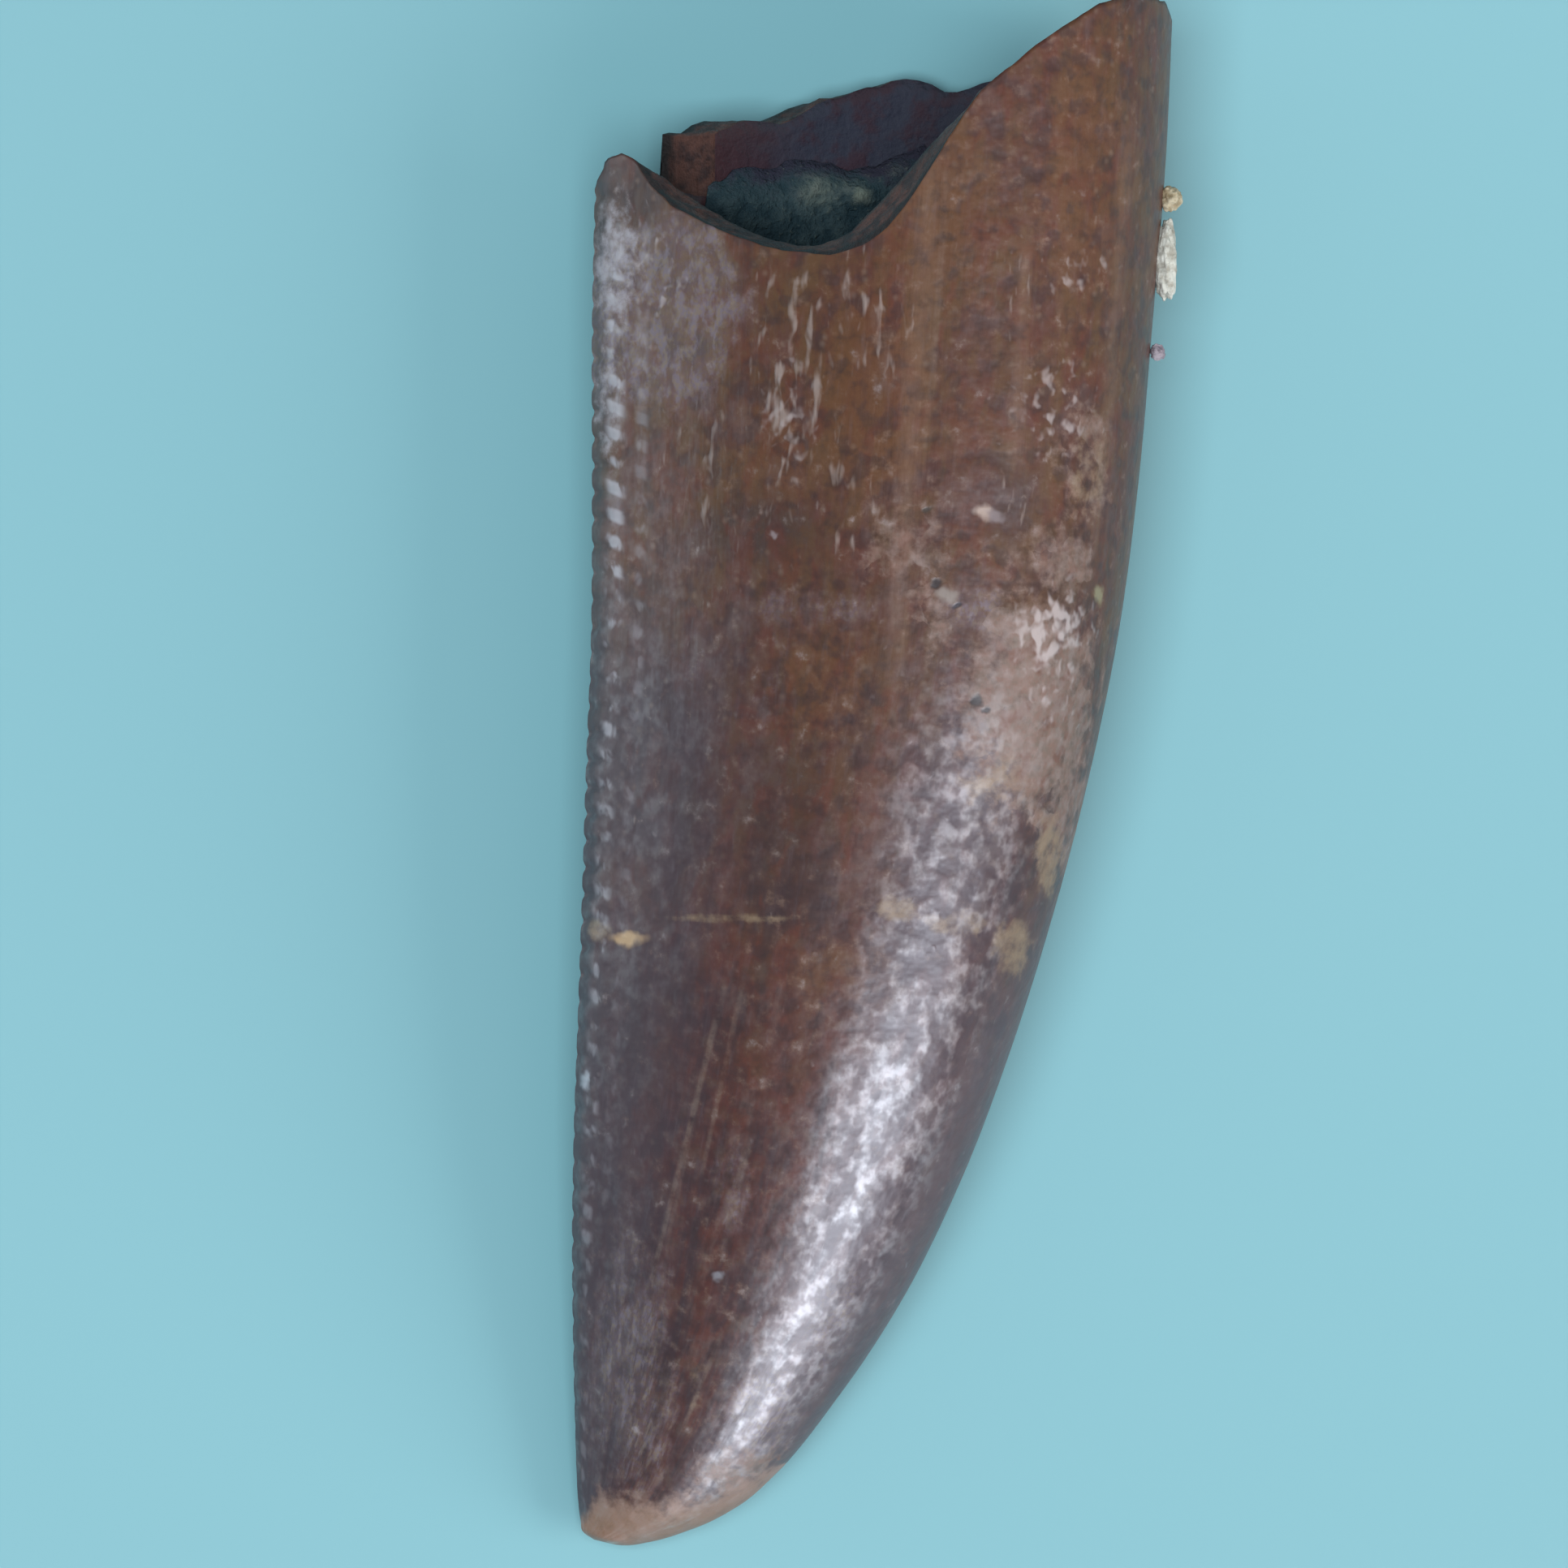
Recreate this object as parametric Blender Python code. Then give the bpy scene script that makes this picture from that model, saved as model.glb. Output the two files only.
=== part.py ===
"""Fossil tooth crown of a meat-eating dinosaur, lying on its flank.

The crown is one hollow piece: a straight, serrated back edge, a strongly curved front edge,
a worn blunt tip and a broken rim round the open pulp cavity. Old sediment lines the cavity,
and three grains of pale grit sit along the front edge.

Lengths are millimetres until each mesh is finished. X runs from the back edge to the front
edge, Y from the tip to the root end, and Z up from the surface that the tooth lies on. A level
is a height above the tip, along Y.
"""

import math
import random

import bpy
import bmesh
import numpy as np

# Driving dimensions, in millimetres
CROWN_LENGTH = 34.0
DENTICLE_PITCH = 0.587
NOTCH_DEPTH = 0.09
WALL = 0.8
BACK_WALL = 1.36
FRONT_WALL = 0.9
CAVITY_END_LEVEL = 13.6
COLLAR_LEVEL = 26.4
SETTING_GAP = 0.27
RESIDUE_THICKNESS = 0.25
WELD_DISTANCE = 0.012
METRES = 0.001

# How bluntly a section starts at the back edge and ends at the front edge, outside and inside,
# and how bluntly the cavity narrows to its end
OUTER_POWERS = (0.9, 0.5)
CAVITY_POWERS = (0.8, 0.45)
CAVITY_TAPER = 0.6

# Cross-sections from the tip to the root end: level at the back edge, X of the back edge,
# X of the front edge, level at the front edge, rise above the edges, drop below them, and
# how far the underside stays clear of the resting surface before it is flattened there.
SECTIONS = np.array((
    (0.12, -6.24, -6.24, 0.12, 0.00, 0.00, 0.86),
    (0.27, -6.46, -5.69, 0.00, 0.36, 0.32, 0.56),
    (0.53, -6.53, -5.00, 0.07, 0.64, 0.57, 0.33),
    (0.94, -6.58, -4.11, 0.34, 0.97, 0.86, 0.12),
    (1.65, -6.62, -3.13, 0.82, 1.33, 1.15, -0.02),
    (2.63, -6.65, -2.24, 1.57, 1.66, 1.43, -0.08),
    (4.41, -6.69, -0.82, 3.34, 2.10, 1.82, -0.03),
    (6.55, -6.71, 0.57, 5.48, 2.55, 2.20, 0.15),
    (9.04, -6.67, 1.87, 8.15, 2.95, 2.60, 0.32),
    (11.53, -6.58, 2.88, 10.82, 3.30, 2.95, 0.42),
    (14.38, -6.48, 3.88, 14.02, 3.60, 3.28, 0.40),
    (17.22, -6.39, 4.66, 17.04, 3.85, 3.52, 0.28),
    (20.07, -6.28, 5.28, 20.07, 4.02, 3.70, 0.15),
    (23.27, -6.26, 5.71, 23.27, 4.15, 3.85, 0.02),
    (26.83, -6.26, 6.03, 26.83, 4.25, 3.93, -0.10),
    (30.39, -6.19, 6.32, 30.39, 4.30, 3.97, -0.14),
    (34.12, -6.19, 6.49, 34.12, 4.30, 3.97, -0.12),
))

# The broken rim, as (share of the width from the back edge, level): the upper wall is scooped
# between two horns, and the lower wall starts at a broken step beside the back horn.
UPPER_RIM = (
    (0.0, 29.8), (0.006, 30.1), (0.02, 30.46), (0.045, 30.6), (0.066, 30.5), (0.095, 29.94),
    (0.137, 29.41), (0.236, 28.79), (0.307, 28.47), (0.42, 28.27), (0.4625, 28.38), (0.519, 28.84),
    (0.557, 29.55), (0.604, 30.51), (0.632, 31.28), (0.682, 32.03), (0.774, 32.97), (0.866, 33.77),
    (0.936, 34.0), (0.985, 33.9), (1.0, 33.5),
)
UPPER_RIM_INSIDE = (
    (0.0, 29.87), (0.087, 29.43), (0.153, 29.02), (0.242, 28.63), (0.308, 28.5), (0.389, 28.6),
    (0.458, 29.2), (0.548, 30.27), (0.617, 31.1), (0.76, 32.42), (0.88, 33.2), (1.0, 33.5),
)
LOWER_RIM = (
    (0.0, 29.8), (0.02, 30.15), (0.045, 30.1), (0.074, 29.77), (0.1125, 29.65), (0.1168, 31.06),
    (0.149, 31.1), (0.182, 31.4), (0.272, 31.28), (0.328, 31.63), (0.434, 31.99), (0.547, 32.31),
    (0.59, 32.2), (0.625, 31.94), (0.72, 32.15), (0.802, 32.5), (0.9, 33.0), (1.0, 33.5),
)
LOWER_RIM_INSIDE = (
    (0.0, 29.8), (0.1125, 29.7), (0.1168, 31.05), (0.182, 31.4), (0.272, 31.3), (0.328, 31.7),
    (0.434, 32.1), (0.53, 32.35), (0.59, 32.2), (0.625, 32.0), (0.802, 32.5), (1.0, 33.5),
)

# Where the sediment's edge lies on the cavity's walls, as (share of the width, level)
SEDIMENT_TOP = 25.8
SEDIMENT_UPPER_EDGE = ((0.0, SEDIMENT_TOP), (1.0, SEDIMENT_TOP))
SEDIMENT_LOWER_EDGE = (
    (0.0, SEDIMENT_TOP), (0.04, 26.2), (0.09, 29.8), (0.16, 30.3), (0.33, 30.5), (0.42, 30.3),
    (0.5, 30.6), (0.58, 30.9), (0.64, 29.4), (0.7, 26.2), (1.0, SEDIMENT_TOP),
)
SEDIMENT_FOOT = 15.2
SEDIMENT_FOOT_DEPTH = 0.2
SEDIMENT_LEVELS = (SEDIMENT_FOOT, 16.6, 18.2, 20.0, 22.0, 24.0)
SEDIMENT_SIDE_DEPTH = 0.6
SEDIMENT_SIDE_PARTS = (0.0, 0.3, 0.6, 0.9)
SEDIMENT_EDGE_INSET = 0.09
SEDIMENT_FACE_PARTS = (0.92, 0.55, 0.2)
SEDIMENT_TOP_RINGS = ((0.05, 0.72), (0.35, 0.4), (0.5, 0.0))    # depth below the top, share of the width
SEDIMENT_COLUMNS = 32

# The angles round a section, in degrees: 0 is the back edge, 90 the upper flank, 180 the front
# edge and 270 the underside. They crowd at the serrations and at the rim's broken step.
SERRATION_ANGLES = (0.0, 8.0, 15.0, 22.0)
FLANK_ANGLES = (27.0, *np.linspace(33.0, 312.0, 40))
STEP_ANGLES = (320.0, 320.9, 329.0)
ANGLES = SERRATION_ANGLES + FLANK_ANGLES + STEP_ANGLES + tuple(360.0 - a for a in SERRATION_ANGLES[::-1])
FLANK_COLUMNS = (len(SERRATION_ANGLES) - 1, len(ANGLES) - len(SERRATION_ANGLES))

# The rings: at the tip, two to each denticle up to the collar, then up to the rim, down the
# cavity's mouth and along its narrowing end.
TIP_LEVELS = (SECTIONS[0][0], 0.2, 0.32, 0.48, 0.68, 0.9, 1.15)
SERRATED_STEPS = 85
COLLAR_STEPS = 12
MOUTH_STEPS = 5
CAVITY_LEVELS = (24.4, 22.4, 20.4, 18.6, 17.0, 15.6, 14.6, 14.0)

SWELLINGS = (
    # X, level, half width, half height and height of each low swelling of the upper flank
    (3.9, 18.6, 1.9, 3.0, 0.28),
    (3.1, 26.2, 0.45, 2.6, 0.07),
    (-0.2, 13.5, 2.2, 4.5, -0.07),
)
SWELLING_FALLOFF = 1.5

# The low worn ridge beside the front edge: its angles, its height, how that shares out between
# forwards and downwards, and how it fades in and out as (level, share of the height)
FRONT_RIDGE_ANGLE = 196.0
FRONT_RIDGE_HALF_ANGLE = 9.0
FRONT_RIDGE_HEIGHT = 0.12
FRONT_RIDGE_PUSH = (0.9, 0.4)
FRONT_RIDGE_FADE = ((1.0, 0.0), (5.0, 1.0), (18.0, 1.0), (25.0, 0.0))

# How deep the notches between the denticles are, as (level, share of the depth), and how each
# cuts in from the back edge, flattens the flanks, and how much of the flanks it may flatten
SERRATION_WEAR = ((1.2, 0.0), (3.0, 0.5), (9.0, 0.65), (14.0, 1.0), (30.0, 1.0))
NOTCH_INWARD = 0.7
NOTCH_FLATTENING = 1.3
NOTCH_FLATTENING_LIMIT = 0.45

GRIT_ROUGHNESS = (-0.16, 0.06)
GRIT = (
    # name, centre (X, level, Z), half sizes, seed
    ("grit_upper", (6.62, 29.55, 4.15), (0.21, 0.30, 0.24), 3),
    ("grit_middle", (6.51, 28.2, 4.2), (0.21, 0.92, 0.34), 5),
    ("grit_lower", (6.28, 26.2, 4.1), (0.14, 0.2, 0.16), 8),
)


SHARP_ANGLE = 45.0


def clear_scene():
    """Remove whatever objects the scene holds."""
    for item in list(bpy.data.objects):
        bpy.data.objects.remove(item, do_unlink=True)


def make_material(name, colour, roughness):
    """Return a Principled material of one colour."""
    material = bpy.data.materials.new(name)
    material.use_nodes = True
    shader = material.node_tree.nodes["Principled BSDF"]
    shader.inputs["Base Color"].default_value = (*colour, 1.0)
    shader.inputs["Roughness"].default_value = roughness
    shader.inputs["Metallic"].default_value = 0.0
    return material


def section(level):
    """Return the section at a level: back X, front X, front level, rise, drop and edge Z."""
    heights = SECTIONS[:, 0]
    values = SECTIONS[:, 1:]
    steps = np.diff(heights)[:, None]
    slopes = np.diff(values, axis=0) / steps
    tangents = np.empty_like(values)
    tangents[0], tangents[-1] = slopes[0], slopes[-1]
    tangents[1:-1] = (slopes[:-1] * steps[1:] + slopes[1:] * steps[:-1]) / (steps[1:] + steps[:-1])
    lower = int(np.clip(np.searchsorted(heights, level) - 1, 0, len(heights) - 2))
    width = heights[lower + 1] - heights[lower]
    t = (level - heights[lower]) / width
    start, end = values[lower], values[lower + 1]
    blend = t * t * (3.0 - 2.0 * t)
    entry = (t ** 3 - 2.0 * t * t + t) * width * tangents[lower]
    leave = (t ** 3 - t * t) * width * tangents[lower + 1]
    back, front, front_level, rise, drop, lift = start + (end - start) * blend + entry + leave
    return back, front, front_level, rise, drop, drop + lift


def fullness(share, powers):
    """Return a section's height at a share of its width, 1 where it is thickest."""
    back_power, front_power = powers
    share = min(max(share, 0.0), 1.0)
    peak = back_power / (back_power + front_power)
    top = peak ** back_power * (1.0 - peak) ** front_power
    return share ** back_power * (1.0 - share) ** front_power / top


def width_share(angle):
    """Return how far across the section an angle lies, 0 at the back edge and 1 at the front."""
    return (1.0 - math.cos(math.radians(angle))) / 2.0


def is_upper(angle):
    """Return whether an angle is on the upper half of the section."""
    return angle % 360.0 <= 180.0


def read_line(line, place):
    """Return the height of a line of (place, height) points at a place."""
    places, heights = zip(*line)
    return float(np.interp(place, places, heights))


def rim_level(angle, upper, lower):
    """Return the level of the broken rim at an angle."""
    return read_line(upper if is_upper(angle) else lower, width_share(angle))


def relief(x, y):
    """Return the height of the upper flank's low swellings and hollows at a point."""
    total = 0.0
    for centre, level, half_width, half_height, height in SWELLINGS:
        distance = math.hypot((x - centre) / half_width, (y - level) / half_height)
        total += height * math.exp(-distance * distance * SWELLING_FALLOFF)
    return total


def front_ridge(angle, level):
    """Return the height of the worn ridge along the front edge."""
    across = (angle - FRONT_RIDGE_ANGLE) / FRONT_RIDGE_HALF_ANGLE
    return FRONT_RIDGE_HEIGHT * math.exp(-across * across) * read_line(FRONT_RIDGE_FADE, level)


def serration(angle, level):
    """Return how deep the notch between two denticles is, by angle from the back edge."""
    from_edge = min(angle, 360.0 - angle)
    fade = max(0.0, 1.0 - from_edge / SERRATION_ANGLES[-1])
    return NOTCH_DEPTH * read_line(SERRATION_WEAR, level) * fade


def outer_point(level, angle, notched=False):
    """Return a point of the crown's outer surface."""
    back, front, front_level, rise, drop, edge_z = section(level)
    share = width_share(angle)
    x = back + (front - back) * share
    y = level + (front_level - level) * share
    bulge = fullness(share, OUTER_POWERS)
    if is_upper(angle):
        z = edge_z + rise * bulge + relief(x, y) * min(1.0, bulge)
    else:
        z = edge_z - drop * bulge
    push = front_ridge(angle, level)
    x += push * FRONT_RIDGE_PUSH[0]
    z -= push * FRONT_RIDGE_PUSH[1]
    if notched:
        depth = serration(angle, level)
        x += depth * NOTCH_INWARD
        flattening = min(depth * NOTCH_FLATTENING, abs(z - edge_z) * NOTCH_FLATTENING_LIMIT)
        z -= math.copysign(flattening, z - edge_z)
    return x, y, max(z, 0.0)


def cavity_point(level, angle, inset=0.0):
    """Return a point of the pulp cavity's wall, or of a surface set inside it."""
    back, front, _, rise, drop, edge_z = section(level)
    depth = (level - CAVITY_END_LEVEL) / (CROWN_LENGTH - CAVITY_END_LEVEL)
    opening = math.sin(min(max(depth, 0.0), 1.0) * math.pi / 2.0) ** CAVITY_TAPER
    half_width = (front - back - BACK_WALL - FRONT_WALL) / 2.0
    centre = back + BACK_WALL + half_width
    reach = max(half_width * opening - inset, 0.0)
    x = centre - reach * math.cos(math.radians(angle))
    height = (rise if is_upper(angle) else drop) - WALL
    height = max(height * opening - inset, 0.0)
    bulge = fullness(width_share(angle), CAVITY_POWERS)
    z = edge_z + (height if is_upper(angle) else -height) * bulge
    return x, level, z


def crown_rings():
    """Return the crown's rings from the tip, over the rim, to the end of the cavity.

    Each ring is a function of the angle, with whether the flanks need it too. Every second ring
    past the tip is a notch between two denticles, and the flanks keep every third ring.
    """
    rings = []
    for level in TIP_LEVELS:
        rings.append((lambda a, v=level: outer_point(v, a), True))
    for step in range(SERRATED_STEPS, -1, -1):
        level = COLLAR_LEVEL - step * DENTICLE_PITCH / 2.0
        notched = step % 2 == 1
        rings.append((lambda a, v=level, n=notched: outer_point(v, a, n), step % 3 == 0))
    for step in range(1, COLLAR_STEPS + 1):
        def collar(a, k=step / COLLAR_STEPS, n=step % 2 == 1):
            top = rim_level(a, UPPER_RIM, LOWER_RIM)
            return outer_point(COLLAR_LEVEL + (top - COLLAR_LEVEL) * k, a, n)
        rings.append((collar, step % 3 == 0))
    for step in range(MOUTH_STEPS):
        def mouth(a, k=step / MOUTH_STEPS):
            top = rim_level(a, UPPER_RIM_INSIDE, LOWER_RIM_INSIDE)
            return cavity_point(top + (COLLAR_LEVEL - top) * k, a)
        rings.append((mouth, True))
    for level in (COLLAR_LEVEL, *CAVITY_LEVELS, CAVITY_END_LEVEL):
        rings.append((lambda a, v=level: cavity_point(v, a), True))
    return rings


def sediment_rings():
    """Return the sediment's rings, from its foot in the cavity to the middle of its top."""
    def edge(a):
        return rim_level(a, SEDIMENT_UPPER_EDGE, SEDIMENT_LOWER_EDGE)

    def middle(level, a, share):
        x, y, z = cavity_point(level, a, SETTING_GAP)
        back, front, _, _, _, edge_z = section(level)
        centre = back + BACK_WALL + (front - back - BACK_WALL - FRONT_WALL) / 2.0
        return centre + (x - centre) * share, y, edge_z + (z - edge_z) * share

    inner = SETTING_GAP + RESIDUE_THICKNESS
    rings = [(lambda a: middle(SEDIMENT_FOOT - SEDIMENT_FOOT_DEPTH, a, 0.0), True)]
    for level in SEDIMENT_LEVELS:
        rings.append((lambda a, v=level: cavity_point(v, a, SETTING_GAP), True))
    foot_of_side = SEDIMENT_TOP - SEDIMENT_SIDE_DEPTH
    for part in SEDIMENT_SIDE_PARTS:
        def side(a, k=part):
            return cavity_point(foot_of_side + (edge(a) - foot_of_side) * k, a, SETTING_GAP)
        rings.append((side, True))
    rings.append((lambda a: cavity_point(edge(a), a, SETTING_GAP + SEDIMENT_EDGE_INSET), True))
    for part in SEDIMENT_FACE_PARTS:
        def face(a, k=part):
            return cavity_point(SEDIMENT_TOP + (edge(a) - SEDIMENT_TOP) * k, a, inner)
        rings.append((face, True))
    for depth, share in SEDIMENT_TOP_RINGS:
        rings.append((lambda a, v=SEDIMENT_TOP - depth, k=share: middle(v, a, k), True))
    return rings


def loft(name, rings, angles, material, flank_columns=None):
    """Make one closed object by laying a grid over the rings and welding its seam and ends.

    flank_columns, where given, names the columns between which a ring that the flanks don't
    need is dissolved, so that only the serrations keep it.
    """
    mesh = bpy.data.meshes.new(name)
    bm = bmesh.new()
    columns, rows = len(angles) - 1, len(rings) - 1
    bmesh.ops.create_grid(bm, x_segments=columns, y_segments=rows, size=0.5)
    row_of = bm.verts.layers.int.new("row")
    column_of = bm.verts.layers.int.new("column")
    for vertex in bm.verts:
        column = round((vertex.co.x + 0.5) * columns)
        row = round((vertex.co.y + 0.5) * rows)
        vertex[column_of], vertex[row_of] = column, row
        x, y, z = rings[row][0](angles[column])
        vertex.co = (x * METRES, (y - CROWN_LENGTH / 2.0) * METRES, z * METRES)
    bmesh.ops.remove_doubles(bm, verts=bm.verts, dist=WELD_DISTANCE * METRES)
    if flank_columns:
        first, last = flank_columns
        spare = [
            edge for edge in bm.edges
            if edge.verts[0][row_of] == edge.verts[1][row_of]
            and not rings[edge.verts[0][row_of]][1]
            and all(first <= vertex[column_of] <= last for vertex in edge.verts)
        ]
        bmesh.ops.dissolve_edges(bm, edges=spare, use_verts=True)
    bmesh.ops.triangulate(bm, faces=bm.faces, quad_method="BEAUTY", ngon_method="BEAUTY")
    bmesh.ops.recalc_face_normals(bm, faces=bm.faces)
    bm.to_mesh(mesh)
    bm.free()
    mesh.materials.append(material)
    mesh.shade_smooth()
    mesh.set_sharp_from_angle(angle=math.radians(SHARP_ANGLE))
    item = bpy.data.objects.new(name, mesh)
    bpy.context.collection.objects.link(item)
    return item


def make_grit(name, centre, half_sizes, seed, material):
    """Make one rough grain of grit."""
    chance = random.Random(seed)
    mesh = bpy.data.meshes.new(name)
    bm = bmesh.new()
    bmesh.ops.create_icosphere(bm, subdivisions=2, radius=1.0)
    for vertex in bm.verts:
        swell = 1.0 + chance.uniform(*GRIT_ROUGHNESS)
        x, y, z = (c + h * swell * v for c, h, v in zip(centre, half_sizes, vertex.co))
        vertex.co = (x * METRES, (y - CROWN_LENGTH / 2.0) * METRES, z * METRES)
    bm.to_mesh(mesh)
    bm.free()
    mesh.materials.append(material)
    item = bpy.data.objects.new(name, mesh)
    bpy.context.collection.objects.link(item)
    return item


def main():
    """Build the tooth, the sediment in its cavity and the grit on its front edge."""
    clear_scene()
    enamel = make_material("enamel", (0.105, 0.05, 0.034), 0.25)
    sediment = make_material("sediment", (0.06, 0.1, 0.1), 0.85)
    pale_grit = make_material("pale_grit", (0.55, 0.5, 0.38), 0.9)
    loft("tooth", crown_rings(), ANGLES, enamel, FLANK_COLUMNS)
    sediment_angles = tuple(np.linspace(0.0, 360.0, SEDIMENT_COLUMNS + 1))
    loft("cavity_sediment", sediment_rings(), sediment_angles, sediment)
    for name, centre, half_sizes, seed in GRIT:
        make_grit(name, centre, half_sizes, seed, pale_grit)


main()
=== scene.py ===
"""Looks of the fossil tooth: its fine surface, its finishes and the studio around it.

Lengths are millimetres until a mesh is finished. X runs from the serrated back edge to the
curved front edge, Y from the tip to the root end and Z up. A level is a height above the tip,
along Y. A share is how far a point is across the crown, 0 at the back edge and 1 at the front.
An angle goes round the crown in degrees: 0 at the back edge, 90 on top and 180 at the front.
"""

import logging
import math
from dataclasses import dataclass
from enum import Enum

import bmesh
import bpy
import numpy as np
from mathutils import Matrix, Vector, noise


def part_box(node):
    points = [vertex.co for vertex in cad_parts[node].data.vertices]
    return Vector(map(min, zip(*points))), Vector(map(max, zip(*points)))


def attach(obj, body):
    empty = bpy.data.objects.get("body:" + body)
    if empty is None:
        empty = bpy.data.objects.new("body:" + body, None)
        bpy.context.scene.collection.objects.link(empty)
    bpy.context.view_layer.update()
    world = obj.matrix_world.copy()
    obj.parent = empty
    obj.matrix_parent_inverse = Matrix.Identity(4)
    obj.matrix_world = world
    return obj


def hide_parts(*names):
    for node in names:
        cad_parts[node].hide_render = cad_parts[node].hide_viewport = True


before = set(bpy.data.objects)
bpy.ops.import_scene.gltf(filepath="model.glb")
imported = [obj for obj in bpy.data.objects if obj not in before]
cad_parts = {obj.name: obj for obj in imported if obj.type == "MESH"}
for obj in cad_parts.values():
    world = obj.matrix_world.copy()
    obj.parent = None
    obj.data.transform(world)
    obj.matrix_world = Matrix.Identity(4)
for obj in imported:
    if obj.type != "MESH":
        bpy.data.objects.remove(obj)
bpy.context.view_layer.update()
LOG = logging.getLogger("fossil_tooth")

Socket = bpy.types.NodeSocket
Rows = tuple[tuple[float, float], ...]

# The crown's driving dimensions. A notch cuts in from the back edge and through from each flank,
# by these shares of its depth. The scatter makes each notch's depth a little different, and the
# reach is how far round from the back edge the notches run, in degrees.
CROWN_LENGTH = 34.0
CROWN_WIDTH = 12.6
DENTICLE_PITCH = 0.587
NOTCH_DEPTH = 0.09
NOTCH_HALF_WIDTH = 0.17
NOTCH_INWARD, NOTCH_THROUGH = 0.7, 0.9
NOTCH_SCATTER = 12.9898
DENTICLE_REACH = 30.0
WALL = 0.8
BACK_WALL = 1.36
FRONT_WALL = 0.9
CAVITY_END_LEVEL = 13.6
COLLAR_LEVEL = 26.4
SERRATED_LEVEL = 1.15

# The tooth's own box, the size of one millimetre, and how near points are to be welded
TOOTH_LOW, TOOTH_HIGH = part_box("tooth")
UNIT = (TOOTH_HIGH.y - TOOTH_LOW.y) / CROWN_LENGTH
WELD_DISTANCE = 0.002

# Cross-sections from the tip to the root end: level at the back edge, X of the back edge,
# X of the front edge, level at the front edge, rise above the edges, drop below them, and
# how far the underside stays clear of the resting surface before it is flattened there.
SECTIONS = np.array((
    (0.12, -6.24, -6.24, 0.12, 0.00, 0.00, 0.86),
    (0.27, -6.46, -5.69, 0.00, 0.36, 0.32, 0.56),
    (0.53, -6.53, -5.00, 0.07, 0.64, 0.57, 0.33),
    (0.94, -6.58, -4.11, 0.34, 0.97, 0.86, 0.12),
    (1.65, -6.62, -3.13, 0.82, 1.33, 1.15, -0.02),
    (2.63, -6.65, -2.24, 1.57, 1.66, 1.43, -0.08),
    (4.41, -6.69, -0.82, 3.34, 2.10, 1.82, -0.03),
    (6.55, -6.71, 0.57, 5.48, 2.55, 2.20, 0.15),
    (9.04, -6.67, 1.87, 8.15, 2.95, 2.60, 0.32),
    (11.53, -6.58, 2.88, 10.82, 3.30, 2.95, 0.42),
    (14.38, -6.48, 3.88, 14.02, 3.60, 3.28, 0.40),
    (17.22, -6.39, 4.66, 17.04, 3.85, 3.52, 0.28),
    (20.07, -6.28, 5.28, 20.07, 4.02, 3.70, 0.15),
    (23.27, -6.26, 5.71, 23.27, 4.15, 3.85, 0.02),
    (26.83, -6.26, 6.03, 26.83, 4.25, 3.93, -0.10),
    (30.39, -6.19, 6.32, 30.39, 4.30, 3.97, -0.14),
    (34.12, -6.19, 6.49, 34.12, 4.30, 3.97, -0.12),
))

# The broken rim, as (share, level)
UPPER_RIM = (
    (0.0, 29.8), (0.006, 30.1), (0.02, 30.46), (0.045, 30.6), (0.066, 30.5), (0.095, 29.94),
    (0.137, 29.41), (0.236, 28.79), (0.307, 28.47), (0.42, 28.27), (0.4625, 28.38), (0.519, 28.84),
    (0.557, 29.55), (0.604, 30.51), (0.632, 31.28), (0.682, 32.03), (0.774, 32.97), (0.866, 33.77),
    (0.936, 34.0), (0.985, 33.9), (1.0, 33.5),
)
UPPER_RIM_INSIDE = (
    (0.0, 29.87), (0.087, 29.43), (0.153, 29.02), (0.242, 28.63), (0.308, 28.5), (0.389, 28.6),
    (0.458, 29.2), (0.548, 30.27), (0.617, 31.1), (0.76, 32.42), (0.88, 33.2), (1.0, 33.5),
)
LOWER_RIM = (
    (0.0, 29.8), (0.02, 30.15), (0.045, 30.1), (0.074, 29.77), (0.1125, 29.65), (0.1168, 31.06),
    (0.149, 31.1), (0.182, 31.4), (0.272, 31.28), (0.328, 31.63), (0.434, 31.99), (0.547, 32.31),
    (0.59, 32.2), (0.625, 31.94), (0.72, 32.15), (0.802, 32.5), (0.9, 33.0), (1.0, 33.5),
)
LOWER_RIM_INSIDE = (
    (0.0, 29.8), (0.1125, 29.7), (0.1168, 31.05), (0.182, 31.4), (0.272, 31.3), (0.328, 31.7),
    (0.434, 32.1), (0.53, 32.35), (0.59, 32.2), (0.625, 32.0), (0.802, 32.5), (1.0, 33.5),
)

# How high the worn band along the tip's blunt edge is, as (X, height)
TIP_WEAR = ((-6.6, 0.3), (-6.1, 1.15), (-4.5, 0.85), (-2.6, 0.4), (-2.0, 0.0))

# Low swellings and hollows of the upper flank: X, level, half width, half height and height
SWELLINGS = (
    (3.9, 18.6, 1.9, 3.0, 0.28),
    (3.1, 26.2, 0.45, 2.6, 0.07),
    (-0.2, 13.5, 2.2, 4.5, -0.07),
)

# The worn ridge under the front edge, with the shares of its height that it stands out and down,
# and the low shoulder beside the denticles. Each span says how much of the form there is, as
# (level, share of its height).
FRONT_RIDGE_ANGLE = 196.0
FRONT_RIDGE_SPREAD = 9.0
FRONT_RIDGE_HEIGHT = 0.12
FRONT_RIDGE_OUT, FRONT_RIDGE_DOWN = 0.9, 0.4
FRONT_RIDGE_SPAN = ((1.0, 0.0), (5.0, 1.0), (18.0, 1.0), (25.0, 0.0))
BACK_SHOULDER_HEIGHT = 0.07
BACK_SHOULDER_SPAN = ((1.0, 0.0), (4.0, 1.0))

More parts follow.
